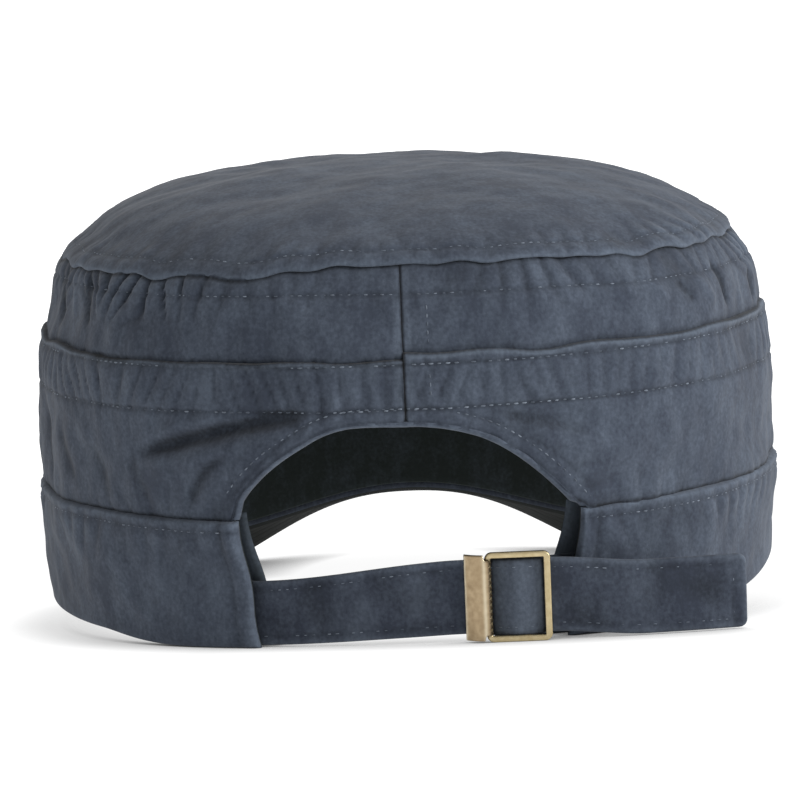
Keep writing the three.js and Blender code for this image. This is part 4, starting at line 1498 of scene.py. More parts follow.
class BottomBand:
    """Band round the rim from one end of the opening to the other, and the sweatband."""

    def __init__(self, sizes: BottomBandSizes) -> None:
        """Keeps the sizes and draws up the reliefs.

        Args:
            sizes: cells and rows.
        """
        self.sizes = sizes
        self.gather = Gather(sizes.top_row, 2.2, 7.0, 0.4, 81, 9, 17, 0.4, 0.32)
        self.broad = Swell(82, 20, 50, 0.3)
        self.small = Swell(83, 6, 15, 0.12, 22)

    def angle(self, u: Array, z: Array, inset: float) -> Array:
        """Angle round the front from one leaning end to the other.

        Args:
            u: 0 at the wearer's left end, 1 at the right.
            z: height.
            inset: how far the ends stand into the opening.

        Returns:
            Radians.
        """
        t = np.clip(z / FORM.band_height, 0, 1)
        bow = 0.35 * np.sin(0.31 * z) * np.ones(np.shape(u))
        x = FORM.opening_foot + (FORM.arch_half - FORM.opening_foot) * t - inset + bow
        end = FORM.angle_at(x, np.full(np.shape(x), FORM.band_height))
        return end + (2 * np.pi - 2 * end) * u

    def point(self, u: Array, v: Array, out: Array, inset: float, top: float) -> Array:
        """Wall point between the rim's lower edge and the band's top.

        Args:
            u: place along the band.
            v: place up it.
            out: distance out of the wall's inside.
            inset: how far the ends stand into the opening.
            top: height of the top edge.

        Returns:
            Points (..., 3).
        """
        angle = self.angle(u, top * v, inset)
        foot = FORM.wall(angle, 0 * angle, out, False)
        degrees = from_back(angle)
        low = FORM.rim_height(foot[..., 0], foot[..., 1]) + 5.4 * bell(degrees, -86, 26)
        return FORM.wall(angle, low + (top - low) * v, out, False)

    def relief(self, angle: Array, z: Array) -> Array:
        """Swell, wrinkles and the gathers of the top row.

        Args:
            angle: radians.
            z: height.

        Returns:
            Millimetres outwards.
        """
        still = ease(z, 0, 6)
        soft = (self.broad.at(angle, z) + self.small.at(angle, z)) * still
        return soft + self.gather.at(angle, z)

    def build(self, wardrobe: Wardrobe) -> None:
        """Builds the band, its stitches and the sweatband.

        Args:
            wardrobe: the finishes.
        """
        sizes, top = self.sizes, FORM.band_height
        u, v = grid(spread(sizes.length, sizes.cell, sizes.turn), spread(top, sizes.cell, sizes.turn))
        angle = self.angle(u, top * v, 0)
        end = np.minimum(u, 1 - u) * sizes.length
        edge = np.minimum(v, 1 - v) * top
        thick = rounding(end, sizes.turn) * rounding(edge, sizes.turn)
        end_row = 0.3 * bell(end, 4.4, 0.6) - 0.25 * bell(end, 2.2, 1.4)
        relief = (self.relief(angle, top * v) - end_row) * ease(end, 0, 1.5) * ease(edge, -0.5, 1)
        half = (FORM.band_cloth + relief) / 2
        outer = self.point(u, v, half + half * thick, 0, top)
        inner = self.point(u, v, half - half * thick, 0, top)
        sharp = self.gather.at(angle, top * v) * ease(edge, -0.5, 1)
        # Paler along the top edge, at the ends and on the ridges: fading plus painted highlight. Painted
        # shade in the valleys and in the groove of the end row.
        paleness = 0.2 + 0.4 * bell(top - top * v, 0.5, 0.8) + 0.4 * bell(end, 0.6, 1.0)
        paleness = paleness + 0.5 * np.clip(sharp, 0, 1)
        shade = 0.1 + 0.8 * np.clip(-sharp, 0, 0.6) + 0.3 * bell(end, 4.4, 0.6)
        uv = np.stack([angle * MEAN_RADIUS, top * v], -1)
        made = ClothSheet("bottom_band_cloth", outer, inner, uv, paleness, shade).build()
        dress(made, wardrobe.cloth, Slot.CLOTH, "cap", "bottom_band")
        at = np.linspace(0.003, 0.997, 2600)
        rows = [self.row(at, sizes.top_row)]
        sew("stitches_bottom_band", rows, wardrobe)
        self.build_sweatband(wardrobe)

    def row(self, at: Array, z: float) -> Pair:
        """A stitch row along the band.

        Args:
            at: places along the band.
            z: height on the cloth.

        Returns:
            Points and directions.
        """
        share = np.full(at.shape, z / FORM.band_height)
        level = share * FORM.band_height

        def lifted(a: Array, v: Array) -> Array:
            """Outer points of the band with their relief."""
            out = FORM.band_cloth + self.relief(self.angle(a, level, 0), v * FORM.band_height)
            return self.point(a, v, out, 0, FORM.band_height)

        return row_on(lambda a: lifted(a, share), at, lambda a: lifted(a, share + 0.02))

    def build_sweatband(self, wardrobe: Wardrobe) -> None:
        """Builds the inner strip, with its ends standing into the opening.

        Args:
            wardrobe: the finishes.
        """
        top = FORM.band_height + 1
        ends = np.linspace(0, 0.04, 16)
        along = np.concatenate([ends, np.linspace(0.044, 0.956, 230), 1 - ends[::-1]])
        u, v = grid(along, spread(top, 1.6, 0.5))
        from_end = np.minimum(u, 1 - u) * 360
        flare = FORM.tab_flare * (1 - ease(from_end, FORM.tab_flare_angle / 3, FORM.tab_flare_angle))
        end, edge = from_end * 1.42, np.minimum(v, 1 - v) * top
        thick = rounding(end, 0.5) * rounding(edge, 0.5)
        middle = -FORM.gap - flare - FORM.sweat_cloth / 2
        half = FORM.sweat_cloth / 2 * thick
        (low_left, top_left), (low_right, top_right) = self.sizes.tab_left, self.sizes.tab_right
        left, right = low_left + (top_left - low_left) * v, low_right + (top_right - low_right) * v
        inset = np.where(u < 0.5, left, right)
        outer = self.point(u, v, middle + half, inset, top)
        inner = self.point(u, v, middle - half, inset, top)
        uv = np.stack([u * self.sizes.length, v * top], -1)
        # Dark cotton stands for the shade inside the cap, a painted shade; only the tabs at its ends take the
        # cloth's own colour.
        paleness = 0.95 * (1 - ease(end, 7, 11))
        made = ClothSheet("sweatband_cloth", outer, inner, uv, paleness, 0.1 + 0 * paleness).build()
        dress(made, wardrobe.sweatband, Slot.LINING, "cap", "sweatband")


# Peak


@dataclass(frozen=True)
class PeakSizes:
    """Outline, arch and rows of the peak."""

    length: float = 62.0
    thickness: float = 2.8
    angle: float = 63.0
    splay: float = 0.22
    round: float = 0.55
    arch: float = 17.5
    arch_half: float = 56.0
    arch_power: float = 2.4
    arch_ease: float = 1.6
    bulge: float = 2.0
    root: float = 1.5
    tuck: float = 1.3
    rows: tuple[float, ...] = (0.1, 0.25, 0.4, 0.55, 0.7, 0.85, 0.955)


class Peak:
    """Stiffened peak: an arched outer edge, even rows of stitches across it."""

    def __init__(self, sizes: PeakSizes) -> None:
        """Keeps the sizes."""
        self.sizes = sizes

    def point(self, u: Array, v: Array, out: Array) -> Array:
        """From the rim, eased out to the arched edge that rests on its corners.

        The height over the surface goes from the rim's to the arch's as v to the 1.15,
        with a half-sine bulge between; a bell at the rim tucks the root into the band.

        Args:
            u: place across, -1 to 1.
            v: place out, 0 at the rim, 1 at the edge.
            out: height over the under side.

        Returns:
            Points (..., 3).
        """
        s = self.sizes
        angle = np.pi - u * s.angle * DEGREE
        start = FORM.plan(angle, FORM.size_share(0.0), s.root)
        length = s.length * np.maximum(0, np.cos(u * np.pi / 2)) ** s.round
        splay = length * s.splay * np.sin(u * s.angle * DEGREE)
        edge = start + np.stack([splay, -length], -1)
        rim = FORM.rim_height(start[..., 0], start[..., 1]) - FORM.gap - s.thickness
        plan = start + (edge - start) * v[..., None]
        rim_lift = rim - FORM.surface_at(start[..., 1])
        t = np.minimum(1, np.abs(edge[..., 0]) / s.arch_half)
        lift_edge = s.arch * (1 - t**s.arch_power) ** s.arch_ease + rim_lift * ease(np.abs(u), 0.8, 1)
        share = np.clip(v, 0, 1) ** 1.15
        lift = rim_lift + (lift_edge - rim_lift) * share + s.bulge * np.sin(np.pi * v) * (1 - u * u)
        tuck = s.tuck * bell(v, 0.0, 0.035)
        z = FORM.surface_at(plan[..., 1]) + np.maximum(lift, 0) + out + tuck
        return np.concatenate([plan, z[..., None]], -1)

    def build(self, wardrobe: Wardrobe) -> None:
        """Builds the peak and its stitches.

        Args:
            wardrobe: the finishes.
        """
        s = self.sizes
        t = np.linspace(-1, 1, 181)
        rim = 1 - 0.025 * np.cos(np.linspace(0.2, np.pi / 2, 6))
        u, v = grid(np.sin(t * np.pi / 2) * 0.985, np.concatenate([np.linspace(0, 0.96, 60), rim]))
        length = s.length * np.cos(u * np.pi / 2) ** s.round
        edge = (1 - v) * np.maximum(length, 6)
        end = (1 - np.abs(t))[:, None] * 60 + 0 * v
        thick = rounding(edge, 1.4) * rounding(end, 1.2)
        dips = sum(bell(v, row, 0.012) for row in s.rows)
        outer = self.point(u, v, s.thickness / 2 * (1 + thick) - 0.16 * dips * thick)
        inner = self.point(u, v, s.thickness / 2 * (1 - thick) + 0.16 * dips * thick)
        uv = outer[..., :2].copy()
        paleness = 0.2 + 0.7 * bell(edge, 0, 1.6)
        # Painted shade in the grooves of the rows and at the root, where it hides the root's end in the dark
        # of the inside.
        shade = 0.1 + 0.3 * dips + bell(v, 0, 0.025)
        made = ClothSheet("peak_cloth", outer, inner, uv, paleness, shade).build()
        # The underside wears the dark peak lining, a painted shade.
        dress(made, wardrobe.peak, Slot.CLOTH, "cap", "peak")
        at = np.linspace(-0.93, 0.93, 400)
        rows = []
        for row in s.rows:
            share = np.full(at.shape, row)
            points = self.point(at, share, np.full(at.shape, s.thickness - 0.1))
            rows.append((points, np.tile([0.0, 0.0, 1.0], (len(at), 1))))
        sew("stitches_peak", rows, wardrobe)


# Strap, keeper and buckle


@dataclass(frozen=True)
class BuckleSizes:
    """Sizes of the strap, the keeper and the clamp buckle."""

    strap_width: float = 17.6
    strap_root: float = 15.4
    strap_lift: float = 1.9
    floor_lift: float = 0.35
    tail_length: float = 47.0
    tail_turn: float = 9.0
    tail_corner: float = 2.0
    side: float = 17.6
    window_slack: float = 0.34
    root_slack: float = 0.25
    mouth_slack: float = 0.1
    keeper_play: float = 0.15
    stand: float = 4.5
    width: float = 15.4
    height: float = 21.2
    bar: float = 1.6
    end_bar: float = 1.4
    thickness: float = 1.5
    pin: float = 0.75
    crossbar_at: float = 6.6
    crossbar_back: float = 3.7
    crossbar: float = 0.7
    reach: float = 5.3
    lever_height: float = 20.4
    sheet: float = 0.8
    drop: float = 1.6
    tooth_pitch: float = 1.5
    tooth_depth: float = 0.8
    row_inset: float = 2.2
    end_row: float = 3.4


class Route:
    """A smooth route in plan through points, read by distance along it."""

    def __init__(self, points: list[Array], tension: float) -> None:
        """Samples a cubic between each pair of points, with slopes from their neighbours.

        Args:
            points: the points, (2,) each.
            tension: share of the neighbours' distance taken as the slope.
        """
        fixed = np.array(points)
        padded = np.concatenate([[2 * fixed[0] - fixed[1]], fixed, [2 * fixed[-1] - fixed[-2]]])
        t = np.linspace(0, 1, 41)[:-1, None]
        runs = [cubic(padded[k : k + 4], t, tension) for k in range(len(fixed) - 1)]
        self.points = np.concatenate([*runs, fixed[-1:]])
        self.run = run_of(self.points)
        self.length = float(self.run[-1])

    def at(self, distance: Array) -> Pair:
        """Points and unit directions at distances.

        Args:
            distance: millimetres from the start.

        Returns:
            Points and directions, (..., 2) each.
        """
        point = read_path(distance, self.run, self.points)
        ahead = read_path(distance + 0.4, self.run, self.points)
        return point, unit(ahead - read_path(distance - 0.4, self.run, self.points))


class Fastening:
    """Strap, keeper, buckle frame and toothed lever at the back of the cap."""

    def __init__(self, sizes: BuckleSizes) -> None:
        """Works out where the buckle stands and how the strap runs through it.

        Args:
            sizes: the sizes.
        """
        s = self.sizes = sizes
        angle = FORM.angle_at(np.array(-s.side), np.array(FORM.band_height))
        foot = FORM.wall(angle, np.array(10.0), 0, False)
        self.back = float(foot[1]) + s.stand
        self.base = float(FORM.surface_at(np.array(self.back))) + 0.1
        lever = -(s.pin + FORM.gap + s.sheet + s.tooth_depth / 2 + FORM.gap) - FORM.strap_cloth / 2
        keeper = s.crossbar + s.keeper_play + FORM.keeper_cloth
        over = -s.crossbar_back + keeper + FORM.gap + FORM.strap_cloth / 2
        under = -s.thickness / 2 - FORM.gap - FORM.strap_cloth / 2
        root_out = -FORM.gap - FORM.strap_cloth / 2
        self.tail_start = s.width - s.pin - s.bar / 2
        at = self.at_buckle
        tail = [self.tail(under, share * s.tail_length) for share in (0.2, 0.45, 0.72, 1.0)]
        self.strap = Route(
            [
                self.beside(4, 1, root_out - s.root_slack), self.beside(-1, 1, root_out - s.mouth_slack),
                at(-FORM.opening_foot - s.side + 20, lever - 2.6), at(-s.side, lever + 0.1),
                at(-s.reach - 3, lever), at(0, lever), at(s.crossbar_at * 0.5, (lever + over) / 2 + 0.2),
                at(s.crossbar_at, over),
                at((s.crossbar_at + self.tail_start) / 2, (over + under) / 2 + 0.1),
                at(self.tail_start, under), *tail,
            ],
            0.5,
        )
        keeper_out = -FORM.gap - FORM.keeper_cloth / 2
        radius = s.crossbar + s.keeper_play + FORM.keeper_cloth / 2
        turns = [-85, -130, 180, 130, 90, 50, 10]
        ring = [
            at(s.crossbar_at + radius * np.cos(a * DEGREE), -s.crossbar_back + radius * np.sin(a * DEGREE))
            for a in turns
        ]
        self.keeper = Route(
            [
                self.beside(4, -1, keeper_out - s.root_slack),
                self.beside(-1, -1, keeper_out - s.mouth_slack),
                at(s.crossbar_at + 3.4, -s.crossbar_back - 2.0), *ring,
            ],
            0.4,
        )
        self.gather = Gather(2.2, 2.6, 1.6, 0.16, 91, 8, 14, 0.3, 0.22)
        self.soft = Swell(92, 12, 30, 0.16)

    @staticmethod
    def beside(past: float, side: int, out: float) -> Array:
        """Plan point by the opening's foot: past it, on a side (1 is left), out of the wall."""
        angle = FORM.angle_at(np.array(FORM.opening_foot + past), np.array(FORM.band_height))
        return FORM.plan(side * angle, FORM.size_share(0.0), out)

    def at_buckle(self, along: float, out: float) -> Array:
        """Plan point from the hinge bar: along the strap and out of it."""
        return np.array([-self.sizes.side - along, self.back + out])

    def tail(self, under: float, distance: float) -> Array:
        """Plan point of the free end, which leans back with the square of the distance.

        Args:
            under: depth at the frame.
            distance: from the frame's far bar.

        Returns:
            The point (2,).
        """
        s = self.sizes
        bend = distance * np.sin(s.tail_turn * DEGREE) * (distance / s.tail_length)
        return self.at_buckle(self.tail_start + distance, under + 0.4 - bend)

    def strap_edges(self, distance: Array, x: Array, y: Array) -> Pair:
        """Lower and upper edges of the strap over its route.

        Args:
            distance: along the route.
            x: the route's x.
            y: the route's y.

        Returns:
            Heights of both edges.
        """
        s = self.sizes
        lift = s.floor_lift + (s.strap_lift - s.floor_lift) * ease(x, FORM.opening_foot, -s.side + 3)
        far = s.side + s.width
        drop = (s.strap_lift - s.floor_lift) * ease(-x, far, far + 22)
        from_end = self.strap.length - distance
        reach = np.clip(s.tail_corner - from_end, 0, s.tail_corner)
        cut = s.tail_corner - np.sqrt(s.tail_corner**2 - reach**2)
        low = FORM.surface_at(y) + lift - drop + cut
        wide = s.strap_root + (s.strap_width - s.strap_root) * ease(x, FORM.opening_foot, -s.side + 8)
        spread_out = s.window_slack * self.window(x)
        return low - 2 * spread_out, low + wide - 2 * cut + spread_out

    def window(self, x: Array) -> Array:
        """How far a place is inside the buckle's window."""
        along = -x - self.sizes.side
        return ease(along, -0.5, 1.5) * (1 - ease(along, 11.8, 13.2))

    def strap_relief(self, distance: Array, up: Array, wide: Array) -> Array:
        """Gathers along both edge rows and a soft swell, still inside the buckle.

        Args:
            distance: along the route.
            up: height over the lower edge.
            wide: width of the strap there.

        Returns:
            Millimetres outwards.
        """
        angle = distance / MEAN_RADIUS
        x = self.strap.at(distance)[0][..., 0]
        buckle = ease(np.abs(x + self.sizes.side + 4.8), 11, 15)
        rows = self.gather.at(angle, up) + self.gather.at(angle + 1, wide - up)
        end_row = bell(self.strap.length - distance, self.sizes.end_row, 0.7)
        return (rows + self.soft.at(angle, up) - 0.25 * end_row) * (0.25 + 0.75 * buckle)

    def strip(self, route: Route, distance: Array, out: Array, z: Array) -> Array:
        """Points beside a route, at heights.

        Args:
            route: the route in plan.
            distance: along it.
            out: to its outer side.
            z: heights.

        Returns:
            Points (..., 3).
        """
        point, way = route.at(distance)
        side = np.stack([-way[..., 1], way[..., 0]], -1)
        plan = point - side * out[..., None]
        return np.concatenate([plan, z[..., None]], -1)

    def build_strap(self, wardrobe: Wardrobe) -> None:
        """Builds the strap and its stitches.

        Args:
            wardrobe: the finishes.
        """
        s, route = self.sizes, self.strap
        turn = 0.75
        u, v = grid(spread(route.length, 0.7, turn) * route.length, spread(s.strap_width, 0.62, turn))
        point = route.at(u)[0]
        low, high = self.strap_edges(u, point[..., 0], point[..., 1])
        wide = high - low
        edge, end = np.minimum(v, 1 - v) * wide, np.minimum(u, route.length - u)
        thick = rounding(edge, turn) * rounding(end, turn)
        relief = self.strap_relief(u, v * wide, wide) * ease(edge, -0.4, 1) * ease(end, -0.4, 1)
        half = FORM.strap_cloth / 2
        z = low + wide * v
        outer = self.strip(route, u, half * thick + relief * 0.8, z)
        inner = self.strip(route, u, -half * thick, z)
        window, along = self.window(point[..., 0]), -point[..., 0] - s.side
        worn = 0.35 * bell(edge, 0.4, 0.8) + 0.4 * bell(end, 0.4, 0.8)
        # Inside the buckle's window the strap is painted paler, a painted light; its ridges are paler by
        # fading and painted highlight.
        paleness = 0.15 + worn * (1 - window) + 0.75 * window + 0.5 * np.clip(relief, 0, 1)
        # Painted shadow where the strap runs under the far bar and at the lever; painted shade in its valleys
        # and along its edges inside the window.
        behind = bell(along, 12.9, 0.5) + bell(along, 0.9, 0.75)
        shade = 0.12 + 0.9 * np.clip(-relief, 0, 0.6) + behind + window * bell(edge, 0, 0.7)
        made = ClothSheet("strap_cloth", outer, inner, np.stack([u, z], -1), paleness, shade).build()
        dress(made, wardrobe.strap, Slot.CLOTH, "cap", "strap")
        last = route.length - s.end_row
        along = np.linspace(3.0, last, 700)
        rows = [self.strap_row(along, 0 * along + share) for share in (0, 1)]
        rows.append(self.strap_row(np.full(40, last), np.linspace(0, 1, 40)))
        sew("stitches_strap", rows, wardrobe, Thread(radius=0.15, sink=0.05))

    def strap_row(self, distance: Array, share: Array) -> Pair:
        """A stitch row on the strap.

        Args:
            distance: along the strap.
            share: 0 on the lower row, 1 on the upper row.

        Returns:
            Points and directions.
        """
        inset = self.sizes.row_inset
        point, way = self.strap.at(distance)
        low, high = self.strap_edges(distance, point[..., 0], point[..., 1])
        z = low + inset + (high - low - 2 * inset) * share
        relief = self.strap_relief(distance, z - low, high - low) * 0.8
        points = self.strip(self.strap, distance, FORM.strap_cloth / 2 + relief, z)
        return points, np.stack([way[..., 1], -way[..., 0], 0 * distance], -1)

    def build_keeper(self, wardrobe: Wardrobe) -> None:
        """Builds the loop that holds the buckle's rear crossbar.

        Args:
            wardrobe: the finishes.
        """
        s, route = self.sizes, self.keeper
        low_at, high_at = s.end_bar + FORM.gap + 0.4, s.height - s.end_bar - FORM.gap - 0.2
        u, v = grid(spread(route.length, 0.7, 0.4) * route.length, spread(high_at - low_at, 0.9, 0.4))
        point = route.at(u)[0]
        low = FORM.surface_at(point[..., 1]) + low_at
        z = low + (high_at - low_at) * v
        edge, end = np.minimum(v, 1 - v) * (high_at - low_at), np.minimum(u, route.length - u)
        half = FORM.keeper_cloth / 2 * rounding(edge, 0.4) * rounding(end, 0.4)
        paleness = 0.2 + 0.6 * bell(edge, 0, 0.8)
        made = ClothSheet(
            "keeper_cloth", self.strip(route, u, half, z), self.strip(route, u, -half, z),
            np.stack([u, z], -1), paleness, 0.2 + 0 * paleness,
        ).build()
        dress(made, wardrobe.strap, Slot.CLOTH, "cap", "keeper")

    def bar(
        self, path: Array, first: Array, second: Array, wide: Array, deep: Array, power: Array, loop: bool
    ) -> Pair:
        """Sweeps a superellipse section along a path.

        At angle a the section is at wide x cos(a) and deep x sin(a), both to the power
        2 / power and with their signs kept.

        Args:
            path: (n, 3) points.
            first: direction of the section's width at each point.
            second: direction of its depth.
            wide: half widths.
            deep: half depths.
            power: 2 is round, more is squarer.
            loop: whether the path closes on itself.

        Returns:
            Points and quads, with the ends closed when it isn't a loop.
        """
        angle = np.arange(20) * np.pi / 10
        c, s = np.cos(angle)[None, :], np.sin(angle)[None, :]
        exponent = (2 / power)[:, None]
        x = np.sign(c) * np.abs(c) ** exponent * wide[:, None]
        y = np.sign(s) * np.abs(s) ** exponent * deep[:, None]
        points = path[:, None] + first[:, None] * x[..., None] + second[:, None] * y[..., None]
        count, sides = points.shape[:2]
        i, j = grid(np.arange(count if loop else count - 1), np.arange(sides))
        after, beside = (i + 1) % count, (j + 1) % sides
        quads = np.stack([i * sides + j, after * sides + j, after * sides + beside, i * sides + beside], -1)
        quads = quads.reshape(-1, 4)
        if not loop:
            k = np.arange(sides // 2 - 1)
            cap = np.stack([k, k + 1, sides - 2 - k, sides - 1 - k], -1)
            quads = np.concatenate([quads, cap, (cap + (count - 1) * sides)[:, ::-1]])
        return points.reshape(-1, 3), quads

    def stand(self, points: Array) -> Array:
        """Moves the buckle's own points to the back of the cap."""
        return points + np.array([-self.sizes.side, self.back, self.base])

    def build_frame(self, wardrobe: Wardrobe) -> None:
        """Builds the buckle's frame and its rear crossbar as swept bars.

        Args:
            wardrobe: the finishes.
        """
        s = self.sizes
        left, right = -(s.width - s.pin - s.bar / 2), 0.0
        low, high = s.end_bar / 2, s.height - s.end_bar / 2
        r = 0.95
        arcs = []
        centres = ((right - r, high - r), (left + r, high - r), (left + r, low + r), (right - r, low + r))
        for k, (cx, cz) in enumerate(centres):
            a = np.linspace(90 * k, 90 * k + 90, 9) * DEGREE
            arcs.append(np.stack([cx + r * np.cos(a), 0 * a, cz + r * np.sin(a)], -1))
        ways = [np.linspace(arcs[k][-1], arcs[(k + 1) % 4][0], 24)[1:-1] for k in range(4)]
        path = np.concatenate([part for k in range(4) for part in (arcs[k], ways[k])])
        along = unit(np.roll(path, -1, 0) - np.roll(path, 1, 0))
        out = np.tile([0.0, 1.0, 0.0], (len(path), 1))
        side = np.cross(along, out)
        hinge = ease(path[:, 0], -1.3, -0.4)
        upright = np.abs(along[:, 2]) ** 2
        wide = s.end_bar / 2 + (s.bar - s.end_bar) / 2 * upright * (1 - hinge)
        wide = wide + (s.pin - s.end_bar / 2) * hinge * upright
        power = 5 - 3 * hinge * upright
        deep = np.full(len(path), s.thickness / 2)
        frame_points, frame_quads = self.bar(path, side, out, wide, deep, power, True)
        z0, z1, x = low, high - 0.4, -s.crossbar_at
        r, back = 0.9, -s.crossbar_back
        a = np.linspace(0, 90, 7) * DEGREE
        lower = np.stack([np.full(7, x), back + r - r * np.sin(a), z0 + r - r * np.cos(a)], -1)
        upper = np.stack([np.full(7, x), back + r - r * np.cos(a), z1 - r + r * np.sin(a)], -1)
        first_leg = np.linspace([x, -0.2, z0], lower[0], 6)[:-1]
        middle = np.linspace(lower[-1], upper[0], 20)[1:-1]
        last_leg = np.linspace(upper[-1], [x, -0.2, z1], 6)[1:]
        bar_path = np.concatenate([first_leg, lower, middle, upper, last_leg])
        bar_along = unit(np.gradient(bar_path, axis=0))
        across = np.tile([1.0, 0.0, 0.0], (len(bar_path), 1))
        n = np.full(len(bar_path), s.crossbar - 0.2)
        up = np.cross(bar_along, across)
        bar_points, bar_quads = self.bar(bar_path, across, up, n, n * 0.99, n * 0 + 2.0, False)
        points = np.concatenate([frame_points, bar_points])
        bar_quads = self.outward(bar_points, bar_quads) + len(frame_points)
        quads = [self.outward(frame_points, frame_quads), bar_quads]
        self.finish_frame(points, np.concatenate(quads), wardrobe)

    @staticmethod
    def outward(points: Array, quads: Array) -> Array:
        """Turns the quads of one closed body outwards.

        Args:
            points: (n, 3).
            quads: (m, 4).

        Returns:
            The quads, reversed if their volume was negative.
        """
        a, b, c, d = (points[quads[:, k]] for k in range(4))
        volume = np.einsum("ij,ij->", a, np.cross(b, c)) + np.einsum("ij,ij->", a, np.cross(c, d))
        return quads if volume > 0 else quads[:, ::-1]

    def finish_frame(self, points: Array, quads: Array, wardrobe: Wardrobe) -> None:
        """Makes and dresses the frame and its crossbar as one brass piece.

        Args:
            points: the buckle's own points.
            quads: its faces.
            wardrobe: the finishes.
        """
        x, z = points[:, 0], points[:, 2]
        # Painted shade over the hinge bar, between the end bars, for the dark gap behind the lever's teeth.
        gap_shade = 0.9 * bell(x, 0.0, 0.75) * ease(z, 1.2, 1.8) * (1 - ease(z, 19.4, 20.0))
        layers = {"paleness": 0 * x, "shade": gap_shade}
        placed = FORM.to_frame(self.stand(points))
        made = make_object("buckle_frame_brass", placed, [quads], layers, points[:, [0, 2]] * 0.001)
        LOG.info("buckle_frame_brass: %d faces", len(quads))
        dress(made, wardrobe.brass, Slot.BRASS, "cap", "buckle_frame")

    def build_lever(self, wardrobe: Wardrobe) -> None:
        """Builds the toothed lever: a sheet from its teeth round the bar to its free edge.

        Args:
            wardrobe: the finishes.
        """
        s = self.sizes
        inner = s.pin + FORM.gap / 2
        middle = inner + s.sheet / 2
        start, lift = 128 * DEGREE, 75 * DEGREE
        arc = np.linspace(start, lift, 46)
        roll = middle * np.stack([np.cos(arc), np.sin(arc)], -1)
        t = np.linspace(0, 1, 26)[1:, None]
        end = np.array([s.reach + 0.12, -s.drop + s.sheet / 2])
        knee = np.array([middle + 1.5, middle - 0.1])
        plate = roll[-1] * (1 - t) ** 2 + 2 * knee * t * (1 - t) + end * t**2
        path = np.concatenate([roll, plate])
        run = run_of(path)
        share = spread(float(run[-1]), 0.2, 0.35) * run[-1]
        low, high = s.end_bar + FORM.gap, s.height - s.end_bar - FORM.gap
        wing = (s.height - s.lever_height) / 2
        v = spread(high - low, 0.16, 0.35)[None, :]
        distance = share[:, None] + 0 * v
        line = read_path(distance, run, path)
        wide = ease(line[..., 0], s.pin + 0.12, s.pin + 0.3)
        wide = np.where(distance > run[45], wide, 0)
        foot, head = low + (wing - low) * wide, high + (s.height - wing - high) * wide
        z = foot + (head - foot) * v
        count = int((high - low) / s.tooth_pitch)
        first = (low + high) / 2 - (count - 1) * s.tooth_pitch / 2
        phase = (z - first) / s.tooth_pitch
        notch = np.clip(1 - 2 * np.abs(phase - np.round(phase)) * s.tooth_pitch / (s.tooth_depth * 1.4), 0, 1)
        moved = distance + notch * s.tooth_depth * np.clip(1 - distance / 1.6, 0, 1)
        line = read_path(moved, run, path)
        way = unit(read_path(moved + 0.1, run, path) - read_path(moved - 0.1, run, path))
        normal = np.stack([-way[..., 1], way[..., 0]], -1)
        edge = np.minimum(v, 1 - v) * (head - foot)
        tip = np.minimum(distance, run[-1] - distance)
        half = (s.sheet / 2 * rounding(edge, 0.35) * rounding(tip, 0.35))[..., None]
        faces = [np.concatenate([line + side * normal * half, z[..., None]], -1) for side in (1, -1)]
        # Painted highlight on the free edge and on the rolled strip; painted shade at the toothed edge, for
        # the dark gaps between the teeth.
        made = ClothSheet(
            "buckle_lever_brass", self.stand(faces[0]), self.stand(faces[1]), np.stack([distance, z], -1),
            0.75 * bell(run[-1] - distance, 0.25, 0.4) + 0.6 * bell(moved, 1.7, 0.4),
            0.95 * (1 - ease(moved, 0.5, 1.1)),
        ).build()
        dress(made, wardrobe.plate, Slot.BRASS, "lever", "buckle_lever")

    def build(self, wardrobe: Wardrobe) -> None:
        """Builds every piece of the fastening.

        Args:
            wardrobe: the finishes.
        """
        self.build_strap(wardrobe)
        self.build_keeper(wardrobe)
        self.build_frame(wardrobe)
        self.build_lever(wardrobe)


# Studio


@dataclass(frozen=True)
class Shot:
    """Camera sizes: distance, angle over the cap's rim plane, roll and the aimed pixel."""

    distance: float = 1000.0
    elevation: float = 10.4
    focal: float = 3868.0
    roll: float = 2.37
    centre: tuple[float, float] = (407.0, 571.1)
    aim: tuple[float, float] = (395.0, 400.0)
    picture: float = 800.0
    sensor: float = 36.0


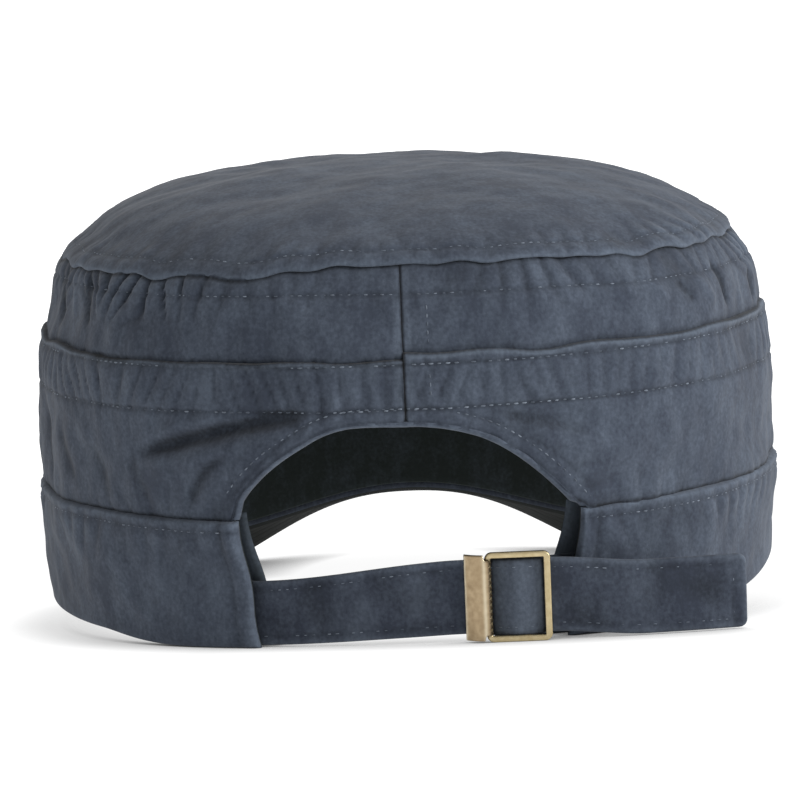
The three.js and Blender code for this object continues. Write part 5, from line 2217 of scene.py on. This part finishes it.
class Studio:
    """Pale floor with a curved backdrop, soft lamps and the camera."""

    # The paper's glow, a painted light higher under the cap and far off: metres from the middle,
    # then the glow there.
    near = (0.16, 0.24, 0.95, 0.83)
    far = (0.25, 0.8, 0.0, 0.35)

    def __init__(self, shot: Shot) -> None:
        """Keeps the camera's sizes."""
        self.shot = shot

    def build(self) -> None:
        """Builds the floor, the lamps and the camera."""
        self.floor()
        self.world()
        self.lamp("key_lamp", (-1.9, 0.85, 0.95), 1.1, 41.0)
        self.lamp("top_lamp", (-0.9, 0.4, 2.1), 1.3, 8.0)
        self.camera()
        view = bpy.context.scene.view_settings
        view.view_transform = "Standard"
        view.look = "None"

    def floor(self) -> None:
        """White paper with a painted glow, swept up into a far backdrop: flat, a quarter circle, upright."""
        bend = np.linspace(0, 90, 20) * DEGREE
        depth = np.concatenate([[3.0, 1.0, 0.0, -1.0], -3.2 - 0.9 * np.sin(bend), [-4.1]])
        height = np.concatenate([[0, 0, 0, 0], 0.9 - 0.9 * np.cos(bend), [4.0]])
        across = np.array([-5.0, 5.0])
        x, y = np.broadcast_arrays(across[:, None], depth[None, :])
        points = np.stack([x, y, np.broadcast_to(height, x.shape)], -1).reshape(-1, 3)
        faces = grid_faces(2, len(depth), 0, False)
        made = make_object("studio_floor", points, [faces], {}, points[:, :2])
        kit = Palette("studio_paper")
        middle = kit.add("VectorMath", {0: kit.place}, operation="LENGTH").outputs["Value"]
        near, far = kit.stretch(middle, *self.near), kit.stretch(middle, *self.far)
        glow = kit.add("Math", {0: near, 1: far}, operation="ADD").outputs[0]
        # Ambient occlusion dims the glow into a painted contact shadow, darkest where the strap all
        # but touches it.
        occlusion_shade = kit.add("AmbientOcclusion", {"Distance": 0.016}, samples=8).outputs["AO"]
        glow = kit.add("Math", {0: glow, 1: occlusion_shade}, operation="MULTIPLY").outputs[0]
        paper = {"Base Color": linear("#8a8a8a"), "Roughness": 0.9, "Specular IOR Level": 0.0}
        paper.update({"Emission Color": (1.0, 1.0, 1.0, 1.0), "Emission Strength": glow})
        kit.add("OutputMaterial", {"Surface": kit.add("BsdfPrincipled", paper).outputs[0]})
        made.data.materials.append(kit.material)

    def world(self) -> None:
        """Even white light from all round."""
        world = bpy.data.worlds.new("studio_light")
        world.use_nodes = True
        light = world.node_tree.nodes["Background"]
        light.inputs["Color"].default_value = (1.0, 1.0, 1.0, 1.0)
        light.inputs["Strength"].default_value = 0.4
        bpy.context.scene.world = world

    def lamp(self, name: str, place: tuple[float, float, float], size: float, power: float) -> None:
        """A square soft lamp that points at the cap.

        Args:
            name: name of the lamp.
            place: metres.
            size: side of the square, metres.
            power: watts.
        """
        data = bpy.data.lights.new(name, "AREA")
        data.energy = power
        data.size = size
        made = bpy.data.objects.new(name, data)
        bpy.context.scene.collection.objects.link(made)
        back = unit(np.array(place) - np.array([0.0, 0.03, 0.05]))
        side = unit(np.cross([0.0, 0.0, 1.0], back))
        made.matrix_world = self.pose(side, np.cross(back, side), back, np.array(place))

    @staticmethod
    def pose(x: Array, y: Array, z: Array, place: Array) -> Matrix:
        """World matrix from three axes and a place.

        Args:
            x: the object's x axis.
            y: its y axis.
            z: its z axis.
            place: metres.

        Returns:
            The matrix.
        """
        table = np.eye(4)
        table[:3, 0], table[:3, 1], table[:3, 2], table[:3, 3] = x, y, z, place
        return Matrix(table.tolist())

    def camera(self) -> None:
        """Camera behind the cap, looking through the picture's middle pixel."""
        s = self.shot
        rise = s.elevation * DEGREE
        right, up = np.array([-1.0, 0, 0]), np.array([0, -np.sin(rise), np.cos(rise)])
        ahead = np.array([0, -np.cos(rise), -np.sin(rise)])
        place = -ahead * s.distance
        c, n = np.cos(s.roll * DEGREE), np.sin(s.roll * DEGREE)
        x, y = right * c - up * n, right * n + up * c
        look = ahead + x * (s.aim[0] - s.centre[0]) / s.focal + y * (s.centre[1] - s.aim[1]) / s.focal
        look = unit(look)
        x = unit(x - look * (x @ look))
        y = np.cross(x, look)
        data = bpy.data.cameras.new("photo_camera")
        data.sensor_width = s.sensor
        data.lens = s.focal * s.sensor / s.picture
        data.clip_end = 30.0
        made = bpy.data.objects.new("photo_camera", data)
        bpy.context.scene.collection.objects.link(made)
        made.matrix_world = self.pose(FORM.turn(x), FORM.turn(y), FORM.turn(-look), FORM.to_frame(place))
        bpy.context.scene.camera = made


def main() -> None:
    """Builds every sub-assembly in order, then the studio."""
    logging.basicConfig(level=logging.INFO, format="%(name)s: %(message)s")
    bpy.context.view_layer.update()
    wardrobe = Wardrobe.open()
    Crown(CrownSizes()).build(wardrobe)
    wall = Wall(WallSizes())
    wall.build(wardrobe)
    ArchFacing(FacingSizes(), wall).build(wardrobe)
    BottomBand(BottomBandSizes()).build(wardrobe)
    Peak(PeakSizes()).build(wardrobe)
    Fastening(BuckleSizes()).build(wardrobe)
    Studio(Shot()).build()


if __name__ == "__main__":
    main()
